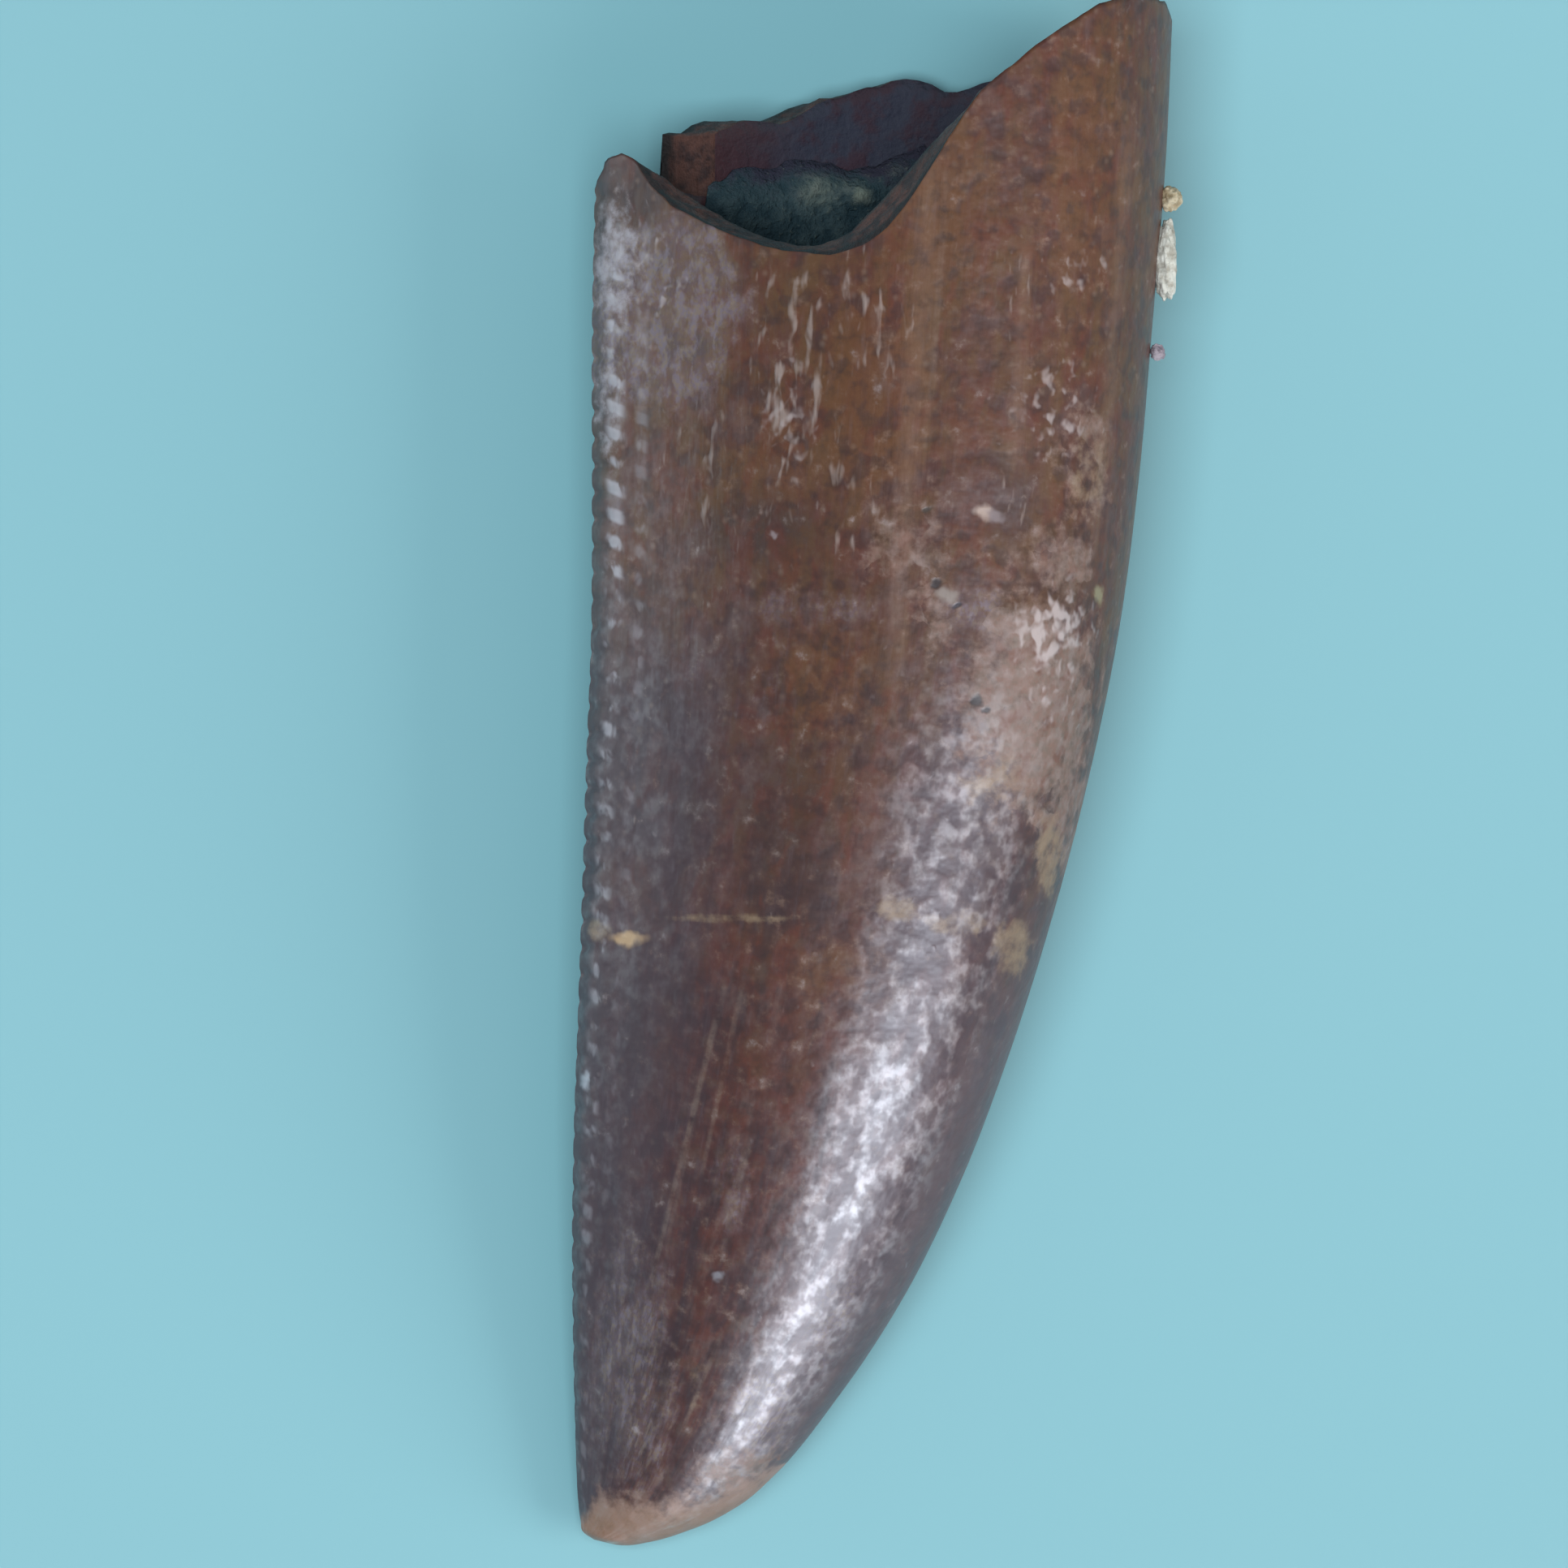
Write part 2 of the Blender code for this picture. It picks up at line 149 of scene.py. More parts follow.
# How bluntly a section starts at the back edge and ends at the front edge
OUTER_POWERS = (0.9, 0.5)
CAVITY_POWERS = (0.8, 0.45)

# The uneven surface that is left in the enamel: long waves and small dents
WAVE_SIZE, WAVE_HEIGHT = 1.6, 0.022
DENT_SIZE, DENT_HEIGHT = 1.1, 0.016

# Where the sediment's edge lies on the cavity's walls, as (share, level)
SEDIMENT_TOP = 25.8
SEDIMENT_FOOT = 15.2
SEDIMENT_UPPER_EDGE = ((0.0, SEDIMENT_TOP), (1.0, SEDIMENT_TOP))
SEDIMENT_LOWER_EDGE = (
    (0.0, SEDIMENT_TOP), (0.04, 26.2), (0.09, 29.8), (0.16, 30.3), (0.33, 30.5), (0.42, 30.3),
    (0.5, 30.6), (0.58, 30.9), (0.64, 29.4), (0.7, 26.2), (1.0, SEDIMENT_TOP),
)


class Look(Enum):
    """What a mark does to the surface; the value is the name of its attribute."""

    WORN = "worn"
    TAN = "tan"
    # The lilac film is partly painted shine and painted reflection
    HAZE_AND_PAINTED_SHEEN = "haze_and_painted_sheen"
    STAIN = "stain"
    WARM = "warm"
    # The flecks and crumbs are partly painted sparkle
    FLECKED_AND_SPARKLING = "flecked_and_sparkling"
    CRUMBLY_AND_SPARKLING = "crumbly_and_sparkling"
    # Painted shine along the back edge at the root end
    PAINTED_SHEEN = "painted_sheen"


class Part(Enum):
    """The surfaces of the crown, each with a material slot of its own."""

    ENAMEL = 0
    FRACTURE = 1
    CAVITY = 2


@dataclass(frozen=True)
class Mark:
    """A patch of the crown with a look of its own: its middle, half sizes and flank."""

    x: float
    level: float
    half_width: float
    half_height: float
    strength: float = 1.0
    upper: bool = True


MARKS = {
    Look.WORN: (
        Mark(3.35, 18.6, 1.5, 2.5),
        Mark(4.1, 16.0, 0.8, 1.6, 0.75),
        Mark(3.95, 21.6, 0.9, 1.0, 0.65),
        Mark(4.5, 23.9, 0.7, 1.3, 0.6),
        Mark(0.6, 22.0, 1.1, 1.2, 0.55),
        Mark(1.3, 20.4, 0.5, 0.9, 0.6),
        Mark(0.2, 17.5, 2.6, 5.0, 0.8, False),
        Mark(-3.4, 9.0, 1.2, 2.2, 0.6, False),
        Mark(-3.0, 1.6, 1.2, 0.7, 0.7),
    ),
    Look.TAN: (
        Mark(2.5, 16.9, 0.8, 0.7, 0.6),
        Mark(3.75, 15.2, 0.35, 1.0, 0.8),
        Mark(2.95, 13.2, 0.45, 0.7, 0.8),
        Mark(0.4, 14.05, 0.5, 0.3, 0.85),
        Mark(1.8, 13.7, 0.8, 0.35, 0.6),
        Mark(4.6, 23.6, 0.5, 1.0, 0.6),
        Mark(-3.2, 13.85, 1.9, 0.13, 0.66),
        Mark(-6.1, 13.6, 0.3, 0.3, 0.7),
        Mark(2.0, 24.5, 0.9, 1.4, 0.8, False),
        Mark(-4.0, 3.5, 0.3, 0.7, 0.5),
        Mark(-4.4, 5.2, 0.6, 1.3, 0.7, False),
    ),
    # A lilac film, with painted shine near the back edge and by the front face's highlight, and painted
    # reflection low on the back side
    Look.HAZE_AND_PAINTED_SHEEN: (
        Mark(-4.7, 27.0, 1.6, 1.9, 1.5),
        Mark(-5.4, 25.0, 0.7, 3.0, 0.4),
        Mark(-1.7, 20.7, 1.9, 0.6, 0.5),
        Mark(-3.0, 19.2, 1.6, 1.2, 0.3),
        Mark(1.9, 20.5, 0.9, 0.6, 0.7),
        Mark(-5.3, 4.0, 1.0, 3.0, 0.8),
        Mark(-3.3, 8.0, 0.5, 1.2, 0.6),
        Mark(-2.6, 3.0, 1.0, 1.5, 0.75),
        Mark(-1.0, 5.4, 0.8, 1.6, 0.6),
        Mark(-1.5, 26.0, 1.8, 3.0, 0.7, False),
    ),
    Look.STAIN: (
        Mark(-5.2, 29.9, 0.7, 1.1, 0.8),
        Mark(-2.7, 22.3, 1.4, 0.8, 0.7),
        Mark(-5.0, 17.4, 1.4, 2.4, 0.9),
        Mark(-5.6, 11.5, 0.7, 1.8, 0.8),
        Mark(-2.1, 16.4, 1.3, 1.4, 0.5),
        Mark(2.9, 22.9, 0.6, 0.9, 0.6),
        Mark(-2.0, 21.0, 1.8, 2.4, 0.7, False),
    ),
    Look.WARM: (
        Mark(-0.1, 25.3, 1.3, 2.6),
        Mark(-2.3, 24.0, 1.0, 1.8, 0.8),
        Mark(-1.2, 19.0, 1.3, 1.4, 0.8),
        Mark(1.3, 29.5, 1.6, 2.4, 0.8),
        Mark(-0.6, 12.6, 1.6, 0.9, 0.7),
        Mark(4.4, 30.0, 1.2, 3.0, 0.8),
    ),
    # Crowded pale flecks, partly painted sparkle
    Look.FLECKED_AND_SPARKLING: (
        Mark(-1.9, 25.6, 1.1, 2.9),
        Mark(-0.2, 26.9, 1.0, 1.5, 0.9),
        Mark(-0.6, 22.9, 0.7, 1.3, 0.8),
        Mark(2.9, 27.6, 0.7, 1.6, 0.6),
        Mark(3.0, 23.2, 0.5, 0.9, 0.7),
        Mark(-3.6, 23.5, 1.0, 2.4, 0.6),
        Mark(-1.0, 24.0, 2.4, 5.0, 0.5, False),
    ),
    # Crowded crumbs, partly painted sparkle
    Look.CRUMBLY_AND_SPARKLING: (
        Mark(3.8, 20.1, 0.8, 1.0, 1.3),
        Mark(3.9, 24.9, 0.9, 1.1, 0.8),
        Mark(4.3, 27.9, 0.8, 0.6, 0.7),
        Mark(-1.9, 24.7, 0.6, 1.3, 0.8),
        Mark(-4.9, 27.9, 0.9, 1.3, 0.6),
        Mark(3.9, 18.9, 0.6, 1.2, 0.8),
    ),
    # Painted shine along the back edge at the root end
    Look.PAINTED_SHEEN: (
        Mark(-5.75, 28.1, 0.55, 1.5),
        Mark(-5.9, 25.2, 0.3, 1.6, 0.7),
    ),
}


@dataclass(frozen=True)
class Dab:
    """A small spot of the upper flank: its middle, half sizes, colour and how deep it is sunk."""

    x: float
    level: float
    half_width: float
    half_height: float
    colour: str
    sunk: float = 0.0


DABS = (
    Dab(1.05, 22.74, 0.13, 0.08, "#3a312c", 0.3),
    Dab(1.5, 20.88, 0.22, 0.14, "#8f8480"),
    Dab(1.26, 21.1, 0.14, 0.11, "#251f24", 0.5),
    Dab(1.69, 20.67, 0.13, 0.08, "#2f2c38", 0.5),
    Dab(2.12, 18.58, 0.12, 0.15, "#201c20", 0.6),
    Dab(2.36, 18.4, 0.1, 0.08, "#332e34", 0.4),
    Dab(2.28, 22.66, 0.18, 0.16, "#b5a098"),
    Dab(2.55, 22.6, 0.2, 0.14, "#84767a"),
    # These three pale dots are painted highlights
    Dab(-2.31, 22.15, 0.06, 0.08, "#8c7c80"),
    Dab(-3.49, 5.96, 0.12, 0.11, "#85828c"),
    Dab(-6.42, 10.25, 0.1, 0.16, "#b4b8c4"),
    Dab(-5.47, 13.37, 0.34, 0.15, "#c4a27c"),
    Dab(4.83, 20.9, 0.09, 0.2, "#8d8468"),
)


@dataclass(frozen=True)
class Scratch:
    """A fine pale line: how far across it lies at its lower and its upper level, and its width."""

    across: tuple[float, float]
    levels: tuple[float, float]
    half_width: float
    strength: float


SCRATCHES = (
    Scratch((3.15, 4.03), (5.9, 11.8), 0.07, 0.32),
    Scratch((3.5, 3.75), (6.8, 9.5), 0.06, 0.15),
    Scratch((4.3, 4.6), (8.3, 12.4), 0.06, 0.2),
    Scratch((5.45, 5.6), (7.2, 9.1), 0.1, 0.25),
    Scratch((6.2, 6.4), (2.8, 4.8), 0.1, 0.3),
    Scratch((7.7, 7.75), (25.0, 30.4), 0.06, 0.15),
)

# Pale bands along the crown: how far across they lie, half width, and the levels they span
PALE_BANDS = ((7.3, 0.45, 19.0, 31.0), (9.65, 0.35, 23.6, 28.6), (11.7, 0.3, 22.0, 31.0))


def tone(code: str) -> tuple[float, float, float, float]:
    """Turn a hex colour into the linear colour that a shader takes.

    Args:
        code: The colour as # and six hexadecimal digits.

    Returns:
        Linear red, green and blue, and an alpha of 1.
    """
    shown = [int(code[i:i + 2], 16) / 255.0 for i in (1, 3, 5)]
    linear = [c / 12.92 if c <= 0.04045 else ((c + 0.055) / 1.055) ** 2.4 for c in shown]
    return (*linear, 1.0)


def read(rows: Rows, place: np.ndarray) -> np.ndarray:
    """Read a table of (place, value) rows, along the straight lines between them."""
    return np.interp(place, *np.array(rows).T)


def smooth(value: np.ndarray, low: float, high: float) -> np.ndarray:
    """Return a smooth step from 0 at low to 1 at high.

    Args:
        value: What is stepped.
        low: Where the step starts.
        high: Where it ends, which may be under low.

    Returns:
        The step at each value.
    """
    t = np.clip((value - low) / (high - low), 0.0, 1.0)
    return t * t * (3.0 - 2.0 * t)


def ring(angle: np.ndarray) -> np.ndarray:
    """Return the points of a circle at angles, where noise closes up all round."""
    turn = np.radians(angle)
    return np.stack((np.cos(turn), np.sin(turn), np.zeros_like(turn)), axis=-1)


def ruggedness(points: np.ndarray, size: float, octaves: int) -> np.ndarray:
    """Return fractal noise at points.

    Args:
        points: Rows of X, Y and Z.
        size: The size of the noise's largest features.
        octaves: How many finer layers it has.

    Returns:
        A number of about -1 to 1 at each point.
    """
    flat = points.reshape(-1, 3) / size
    found = [noise.fractal(Vector(p), 1.0, 2.0, octaves) for p in flat]
    return np.array(found).reshape(points.shape[:-1])


class Value:
    """A number in a shader, on which Python's operators add Math nodes."""

    def __init__(self, graph: "Graph", socket: Socket) -> None:
        """Wrap a socket of a graph."""
        self.graph = graph
        self.socket = socket

    def math(self, operation: str, *terms: "Value | float") -> "Value":
        """Add one Math node.

        Args:
            operation: The node's operation.
            terms: Its inputs, in order.

        Returns:
            The node's result.
        """
        return self.graph.value("ShaderNodeMath", {"operation": operation}, dict(enumerate(terms)))

    def __add__(self, other: "Value | float") -> "Value":
        """Return self + other."""
        return self.math("ADD", self, other)

    def __radd__(self, other: "Value | float") -> "Value":
        """Return other + self."""
        return self.math("ADD", other, self)

    def __sub__(self, other: "Value | float") -> "Value":
        """Return self - other."""
        return self.math("SUBTRACT", self, other)

    def __rsub__(self, other: "Value | float") -> "Value":
        """Return other - self."""
        return self.math("SUBTRACT", other, self)

    def __mul__(self, other: "Value | float") -> "Value":
        """Return self * other."""
        return self.math("MULTIPLY", self, other)

    def __abs__(self) -> "Value":
        """Return the distance from 0."""
        return self.math("ABSOLUTE", self)

    def wave(self) -> "Value":
        """Return the cosine."""
        return self.math("COSINE", self)

    def most(self, *others: "Value | float") -> "Value":
        """Return the largest of this value and others.

        Args:
            others: What it is compared with.

        Returns:
            The largest.
        """
        largest = self
        for other in others:
            largest = self.math("MAXIMUM", largest, other)
        return largest

    def step(self, low: float, high: float) -> "Value":
        """Return a smooth step from 0 at low to 1 at high.

        Args:
            low: Where the step starts.
            high: Where it ends, which may be under low.

        Returns:
            The stepped value.
        """
        if low < high:
            sockets = {"Value": self, "From Min": low, "From Max": high, "To Min": 0.0, "To Max": 1.0}
        else:
            sockets = {"Value": self, "From Min": high, "From Max": low, "To Min": 1.0, "To Max": 0.0}
        return self.graph.value("ShaderNodeMapRange", {"interpolation_type": "SMOOTHSTEP"}, sockets)


class Graph:
    """The node tree of one material, and short ways to add nodes to it."""

    def __init__(self, name: str) -> None:
        """Make a material with one Principled shader.

        Args:
            name: The material's name.
        """
        self.material = bpy.data.materials.new(name)
        self.material.use_nodes = True
        self.tree = self.material.node_tree
        self.shader = self.tree.nodes["Principled BSDF"]

    def node(self, kind: str, settings: dict | None = None, sockets: dict | None = None) -> bpy.types.Node:
        """Add one node.

        Args:
            kind: The node's type.
            settings: Its settings.
            sockets: What each input is given, by its name or number.

        Returns:
            The node.
        """
        made = self.tree.nodes.new(kind)
        for name, setting in (settings or {}).items():
            setattr(made, name, setting)
        for key, given in (sockets or {}).items():
            self.feed(made.inputs[key], given)
        return made

    def feed(self, socket: Socket, given: object) -> None:
        """Give a socket its value or its link.

        Args:
            socket: The input.
            given: A Value, another node's output, a hex colour, a number or a vector.
        """
        if isinstance(given, Value):
            given = given.socket
        if isinstance(given, Socket):
            self.tree.links.new(given, socket)
        else:
            socket.default_value = tone(given) if isinstance(given, str) else given

    def value(self, kind: str, settings: dict, sockets: dict, output: int | str = 0) -> Value:
        """Add one node and wrap one of its outputs as a number.

        Args:
            kind: The node's type.
            settings: Its settings.
            sockets: Its inputs.
            output: The output's name or number.

        Returns:
            That output.
        """
        return Value(self, self.node(kind, settings, sockets).outputs[output])

    def place(self) -> Socket:
        """Return the object's coordinates in millimetres."""
        own = self.node("ShaderNodeTexCoord").outputs["Object"]
        return self.stretch(own, 1.0 / UNIT, 1.0 / UNIT, 1.0 / UNIT)

    def stretch(self, vector: Socket, x: float, y: float, z: float) -> Socket:
        """Multiply a vector.

        Args:
            vector: The vector.
            x: What its X is multiplied by.
            y: What its Y is multiplied by.
            z: What its Z is multiplied by.

        Returns:
            The new vector.
        """
        made = self.node("ShaderNodeVectorMath", {"operation": "MULTIPLY"}, {0: vector, 1: (x, y, z)})
        return made.outputs[0]

    def attribute(self, name: str) -> Value:
        """Return a number that the mesh holds for each of its points."""
        return self.value("ShaderNodeAttribute", {"attribute_name": name}, {}, "Fac")

    def split(self, vector: Socket) -> tuple[Value, Value, Value]:
        """Return a vector's three numbers."""
        made = self.node("ShaderNodeSeparateXYZ", {}, {0: vector})
        return tuple(Value(self, made.outputs[i]) for i in range(3))

    def cloud(self, vector: Socket, scale: float, detail: float = 3.0,
              roughness: float = 0.55, distortion: float = 0.0) -> Value:
        """Return noise of about 0.2 to 0.8.

        Args:
            vector: Where it is read.
            scale: How many features there are to a millimetre.
            detail: How many finer layers it has.
            roughness: How strong these are.
            distortion: How much it swirls.

        Returns:
            The noise.
        """
        sockets = {"Vector": vector, "Scale": scale, "Detail": detail, "Roughness": roughness,
                   "Distortion": distortion}
        return self.value("ShaderNodeTexNoise", {"noise_dimensions": "3D"}, sockets)

    def blend(self, factor: Value | float, first: object, second: object) -> Socket:
        """Mix two colours.

        Args:
            factor: How much of the second shows.
            first: The first colour.
            second: The second colour.

        Returns:
            The mixed colour.
        """
        settings = {"data_type": "RGBA", "clamp_factor": True}
        return self.node("ShaderNodeMix", settings, {0: factor, 6: first, 7: second}).outputs[2]

    def layer(self, ground: object, *coats: tuple[Value | float, object]) -> Socket:
        """Lay coats of colour over a ground, one after the other.

        Args:
            ground: The colour under them.
            coats: How much of each coat shows, and its colour.

        Returns:
            The colour that shows.
        """
        for cover, colour in coats:
            ground = self.blend(cover, ground, colour)
        return ground

    def bump(self, *layers: tuple[Value, float]) -> Socket:
        """Turn heights into a normal, each laid on the one before.

        Args:
            layers: Each layer's height, from 0 to about 1, and its full depth in millimetres.

        Returns:
            The normal.
        """
        normal = None
        for height, depth in layers:
            sockets = {"Height": height, "Distance": depth * UNIT, "Strength": 1.0}
            if normal is not None:
                sockets["Normal"] = normal
            normal = self.node("ShaderNodeBump", {}, sockets).outputs[0]
        return normal

    def dress(self, **sockets: object) -> bpy.types.Material:
        """Set the shader's sockets.

        Args:
            sockets: The values, with _ for each space of a socket's name.

        Returns:
            The material.
        """
        for name, given in sockets.items():
            self.feed(self.shader.inputs[name.replace("_", " ")], given)
        return self.material


@dataclass(frozen=True)
class CrownForm:
    """The shape of the crown's outer surface and of its cavity."""

    serration_wear: Rows = ((1.2, 0.0), (3.0, 0.5), (9.0, 0.65), (14.0, 1.0), (30.0, 1.0))
    rim_rounding: float = 0.035
    cavity_taper: float = 0.6

    def section(self, level: np.ndarray) -> np.ndarray:
        """Read the sections at levels, along a smooth curve through the stations.

        Args:
            level: The levels.

        Returns:
            Back X, front X, front level, rise, drop and edge Z, as six arrays.
        """
        heights, values = SECTIONS[:, 0], SECTIONS[:, 1:]
        steps = np.diff(heights)[:, None]
        slopes = np.diff(values, axis=0) / steps
        tangents = np.vstack((
            slopes[:1],
            (slopes[:-1] * steps[1:] + slopes[1:] * steps[:-1]) / (steps[1:] + steps[:-1]),
            slopes[-1:],
        ))
        low = np.clip(np.searchsorted(heights, level) - 1, 0, len(heights) - 2)
        width = (heights[low + 1] - heights[low])[..., None]
        t = (level - heights[low])[..., None] / width
        found = (
            values[low] + (values[low + 1] - values[low]) * t * t * (3.0 - 2.0 * t)
            + (t ** 3 - 2.0 * t * t + t) * width * tangents[low]
            + (t ** 3 - t * t) * width * tangents[low + 1]
        )
        found[..., 5] += found[..., 4]
        return np.moveaxis(found, -1, 0)

    def share(self, angle: np.ndarray) -> np.ndarray:
        """Return how far across the crown each angle lies."""
        return (1.0 - np.cos(np.radians(angle))) / 2.0

    def fullness(self, share: np.ndarray, back_power: float, front_power: float) -> np.ndarray:
        """Return a section's height at shares of its width.

        Args:
            share: The shares.
            back_power: How bluntly it starts at the back edge.
            front_power: How bluntly it ends at the front edge.

        Returns:
            The height, 1 where the section is thickest.
        """
        share = np.clip(share, 0.0, 1.0)
        peak = back_power / (back_power + front_power)
        top = peak ** back_power * (1.0 - peak) ** front_power
        return share ** back_power * (1.0 - share) ** front_power / top

    def rim(self, angle: np.ndarray, upper: Rows, lower: Rows) -> np.ndarray:
        """Return the level of the broken rim, whose upper wall has rounded corners.

        Args:
            angle: The angles round the crown.
            upper: The upper wall's rim.
            lower: The lower wall's rim.

        Returns:
            The level at each angle.
        """
        share = self.share(angle)
        reach = self.rim_rounding * smooth(share, 0.08, 0.25) * smooth(share, 0.95, 0.8)
        near = [read(upper, share + reach * side) for side in np.linspace(-1.0, 1.0, 9)]
        return np.where(angle <= 180.0, np.mean(near, axis=0), read(lower, share))

    def relief(self, x: np.ndarray, y: np.ndarray) -> np.ndarray:
        """Return the height of the upper flank's low swellings and hollows.

        Args:
            x: The points' X.
            y: Their levels.

        Returns:
            The height at each point.
        """
        total = np.zeros_like(x)
        for centre, level, half_width, half_height, height in SWELLINGS:
            distance = np.hypot((x - centre) / half_width, (y - level) / half_height)
            total += height * np.exp(-distance * distance * 1.5)
        return total

    def notch(self, level: np.ndarray, angle: np.ndarray) -> np.ndarray:
        """Return how deep the notches between the denticles are.

        Args:
            level: The levels.
            angle: The angles round the crown.

        Returns:
            The depth at each point.
        """
        count = (COLLAR_LEVEL - level) / DENTICLE_PITCH
        place = count - np.floor(count) - 0.5
        own = 0.8 + 0.3 * np.sin(np.floor(count) * NOTCH_SCATTER)
        groove = np.exp(-(place / NOTCH_HALF_WIDTH) ** 2) * own
        fade = smooth(np.minimum(angle, 360.0 - angle), DENTICLE_REACH, 6.0)
        return NOTCH_DEPTH * read(self.serration_wear, level) * fade * groove

    def outer(self, level: np.ndarray, angle: np.ndarray) -> tuple[np.ndarray, np.ndarray]:
        """Return points of the crown's outer surface.

        Args:
            level: The levels.
            angle: The angles round the crown.

        Returns:
            The points, and their coordinates along the crown's grain.
        """
        back, front, front_level, rise, drop, edge_z = self.section(level)
        share = self.share(angle)
        upper = angle <= 180.0
        x = back + (front - back) * share
        y = level + (front_level - level) * share
        bulge = self.fullness(share, *OUTER_POWERS)
        swell = self.relief(x, y) * np.minimum(1.0, bulge)
        z = np.where(upper, edge_z + rise * bulge + swell, edge_z - drop * bulge)
        ridge = FRONT_RIDGE_HEIGHT * np.exp(-((angle - FRONT_RIDGE_ANGLE) / FRONT_RIDGE_SPREAD) ** 2)
        ridge = ridge * read(FRONT_RIDGE_SPAN, level)
        depth = self.notch(level, angle)
        x = x + ridge * FRONT_RIDGE_OUT + depth * NOTCH_INWARD
        z = z - ridge * FRONT_RIDGE_DOWN
        cut = np.minimum(depth * NOTCH_THROUGH, np.abs(z - edge_z) * 0.4)
        z = z - np.copysign(cut, z - edge_z)
        across = share * CROWN_WIDTH
        shoulder = BACK_SHOULDER_HEIGHT * smooth(across, 0.0, 0.25) * smooth(across, 1.4, 0.3)
        shoulder = shoulder * read(BACK_SHOULDER_SPAN, level)
        z = z + np.where(upper, shoulder, -shoulder)
        grain = np.stack((across, y, z - edge_z), axis=-1)
        long_waves = ruggedness(grain * (1.0, 0.16, 0.4), WAVE_SIZE, 3)
        dents = ruggedness(np.stack((x, y, z), axis=-1), DENT_SIZE, 3)
        sway = (WAVE_HEIGHT * long_waves + DENT_HEIGHT * dents) * np.minimum(1.0, bulge * 1.5)
        z = z + np.where(upper, sway, -sway) * smooth(z, 0.02, 0.5)
        return np.stack((x, y, np.maximum(z, 0.0)), axis=-1), grain

    def cavity(self, level: np.ndarray, angle: np.ndarray, inset: np.ndarray | float = 0.0) -> np.ndarray:
        """Return points of the pulp cavity's wall, or of a surface set inside it.

        Args:
            level: The levels.
            angle: The angles round the crown.
            inset: How far inside the wall the surface is.

        Returns:
            The points.
        """
        back, front, _, rise, drop, edge_z = self.section(level)
        depth = (level - CAVITY_END_LEVEL) / (CROWN_LENGTH - CAVITY_END_LEVEL)
        opening = np.sin(np.clip(depth, 0.0, 1.0) * math.pi / 2.0) ** self.cavity_taper
        half_width = (front - back - BACK_WALL - FRONT_WALL) / 2.0
        centre = back + BACK_WALL + half_width
        x = centre - np.maximum(half_width * opening - inset, 0.0) * np.cos(np.radians(angle))
        upper = angle <= 180.0
        height = np.maximum((np.where(upper, rise, drop) - WALL) * opening - inset, 0.0)
        bulge = self.fullness(self.share(angle), *CAVITY_POWERS)
        return np.stack((x, level, edge_z + np.where(upper, height, -height) * bulge), axis=-1)


def make_piece(bm: bmesh.types.BMesh, name: str, *materials: bpy.types.Material) -> bpy.types.Object:
    """Turn a bmesh into a smooth piece of the scene.

    Args:
        bm: The bmesh, which is used up.
        name: The piece's name.
        materials: Its materials, by slot.

    Returns:
        The piece.
    """
    for face in bm.faces:
        face.smooth = True
    mesh = bpy.data.meshes.new(name)
    bm.to_mesh(mesh)
    bm.free()
    for material in materials:
        mesh.materials.append(material)
    piece = bpy.data.objects.new(name, mesh)
    bpy.context.collection.objects.link(piece)
    return piece


def lay_sheet(name: str, points: np.ndarray, fields: dict[str, np.ndarray],
              parts: np.ndarray, *materials: bpy.types.Material) -> bpy.types.Object:
    """Make one closed piece by laying a grid over points and welding its seam and its ends.

    Args:
        name: The piece's name.
        points: The grid's points, by row and column, with levels for their Y.
        fields: What each point holds, by the attribute's name.
        parts: The material slot of each row.
        materials: The piece's materials.

    Returns:
        The piece.
    """
    rows, columns = points.shape[0] - 1, points.shape[1] - 1
    places = points * UNIT + (0.0, TOOTH_LOW.y, 0.0)
    bm = bmesh.new()
    bmesh.ops.create_grid(bm, x_segments=columns, y_segments=rows, size=0.5)
    row_of = bm.verts.layers.int.new("row")
    column_of = bm.verts.layers.int.new("column")
    for vertex in bm.verts:
        column = round((vertex.co.x + 0.5) * columns)
        row = round((vertex.co.y + 0.5) * rows)
        vertex[column_of], vertex[row_of] = column, row
        vertex.co = places[row, column]
    for face in bm.faces:
        face.material_index = int(parts[min(vertex[row_of] for vertex in face.verts)])
    bmesh.ops.remove_doubles(bm, verts=bm.verts, dist=WELD_DISTANCE * UNIT)
    bmesh.ops.recalc_face_normals(bm, faces=bm.faces)
    piece = make_piece(bm, name, *materials)
    attributes = piece.data.attributes
    held = np.empty((2, len(piece.data.vertices)), np.int32)
    for line, layer in zip(held, ("row", "column")):
        attributes[layer].data.foreach_get("value", line)
        attributes.remove(attributes[layer])
    for field_name, values in fields.items():
        kind, key = ("FLOAT_VECTOR", "vector") if values.ndim == 3 else ("FLOAT", "value")
        made = attributes.new(field_name, kind, "POINT")
        made.data.foreach_set(key, values[held[0], held[1]].astype(np.float32).ravel())
    return piece


def settle(item: bpy.types.Object, slot: str, *nodes: str) -> None:
    """Tie a finished piece to the frame and report it.

    Args:
        item: The piece.
        slot: The record's material slot for the piece's finish; it is not used.
        nodes: The CAD nodes that it stands for.
    """
    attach(item, "root")
    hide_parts(*nodes)
    triangles = sum(len(face.vertices) - 2 for face in item.data.polygons)
    LOG.info("%s: %d triangles in place of %s", item.name, triangles, ", ".join(nodes))


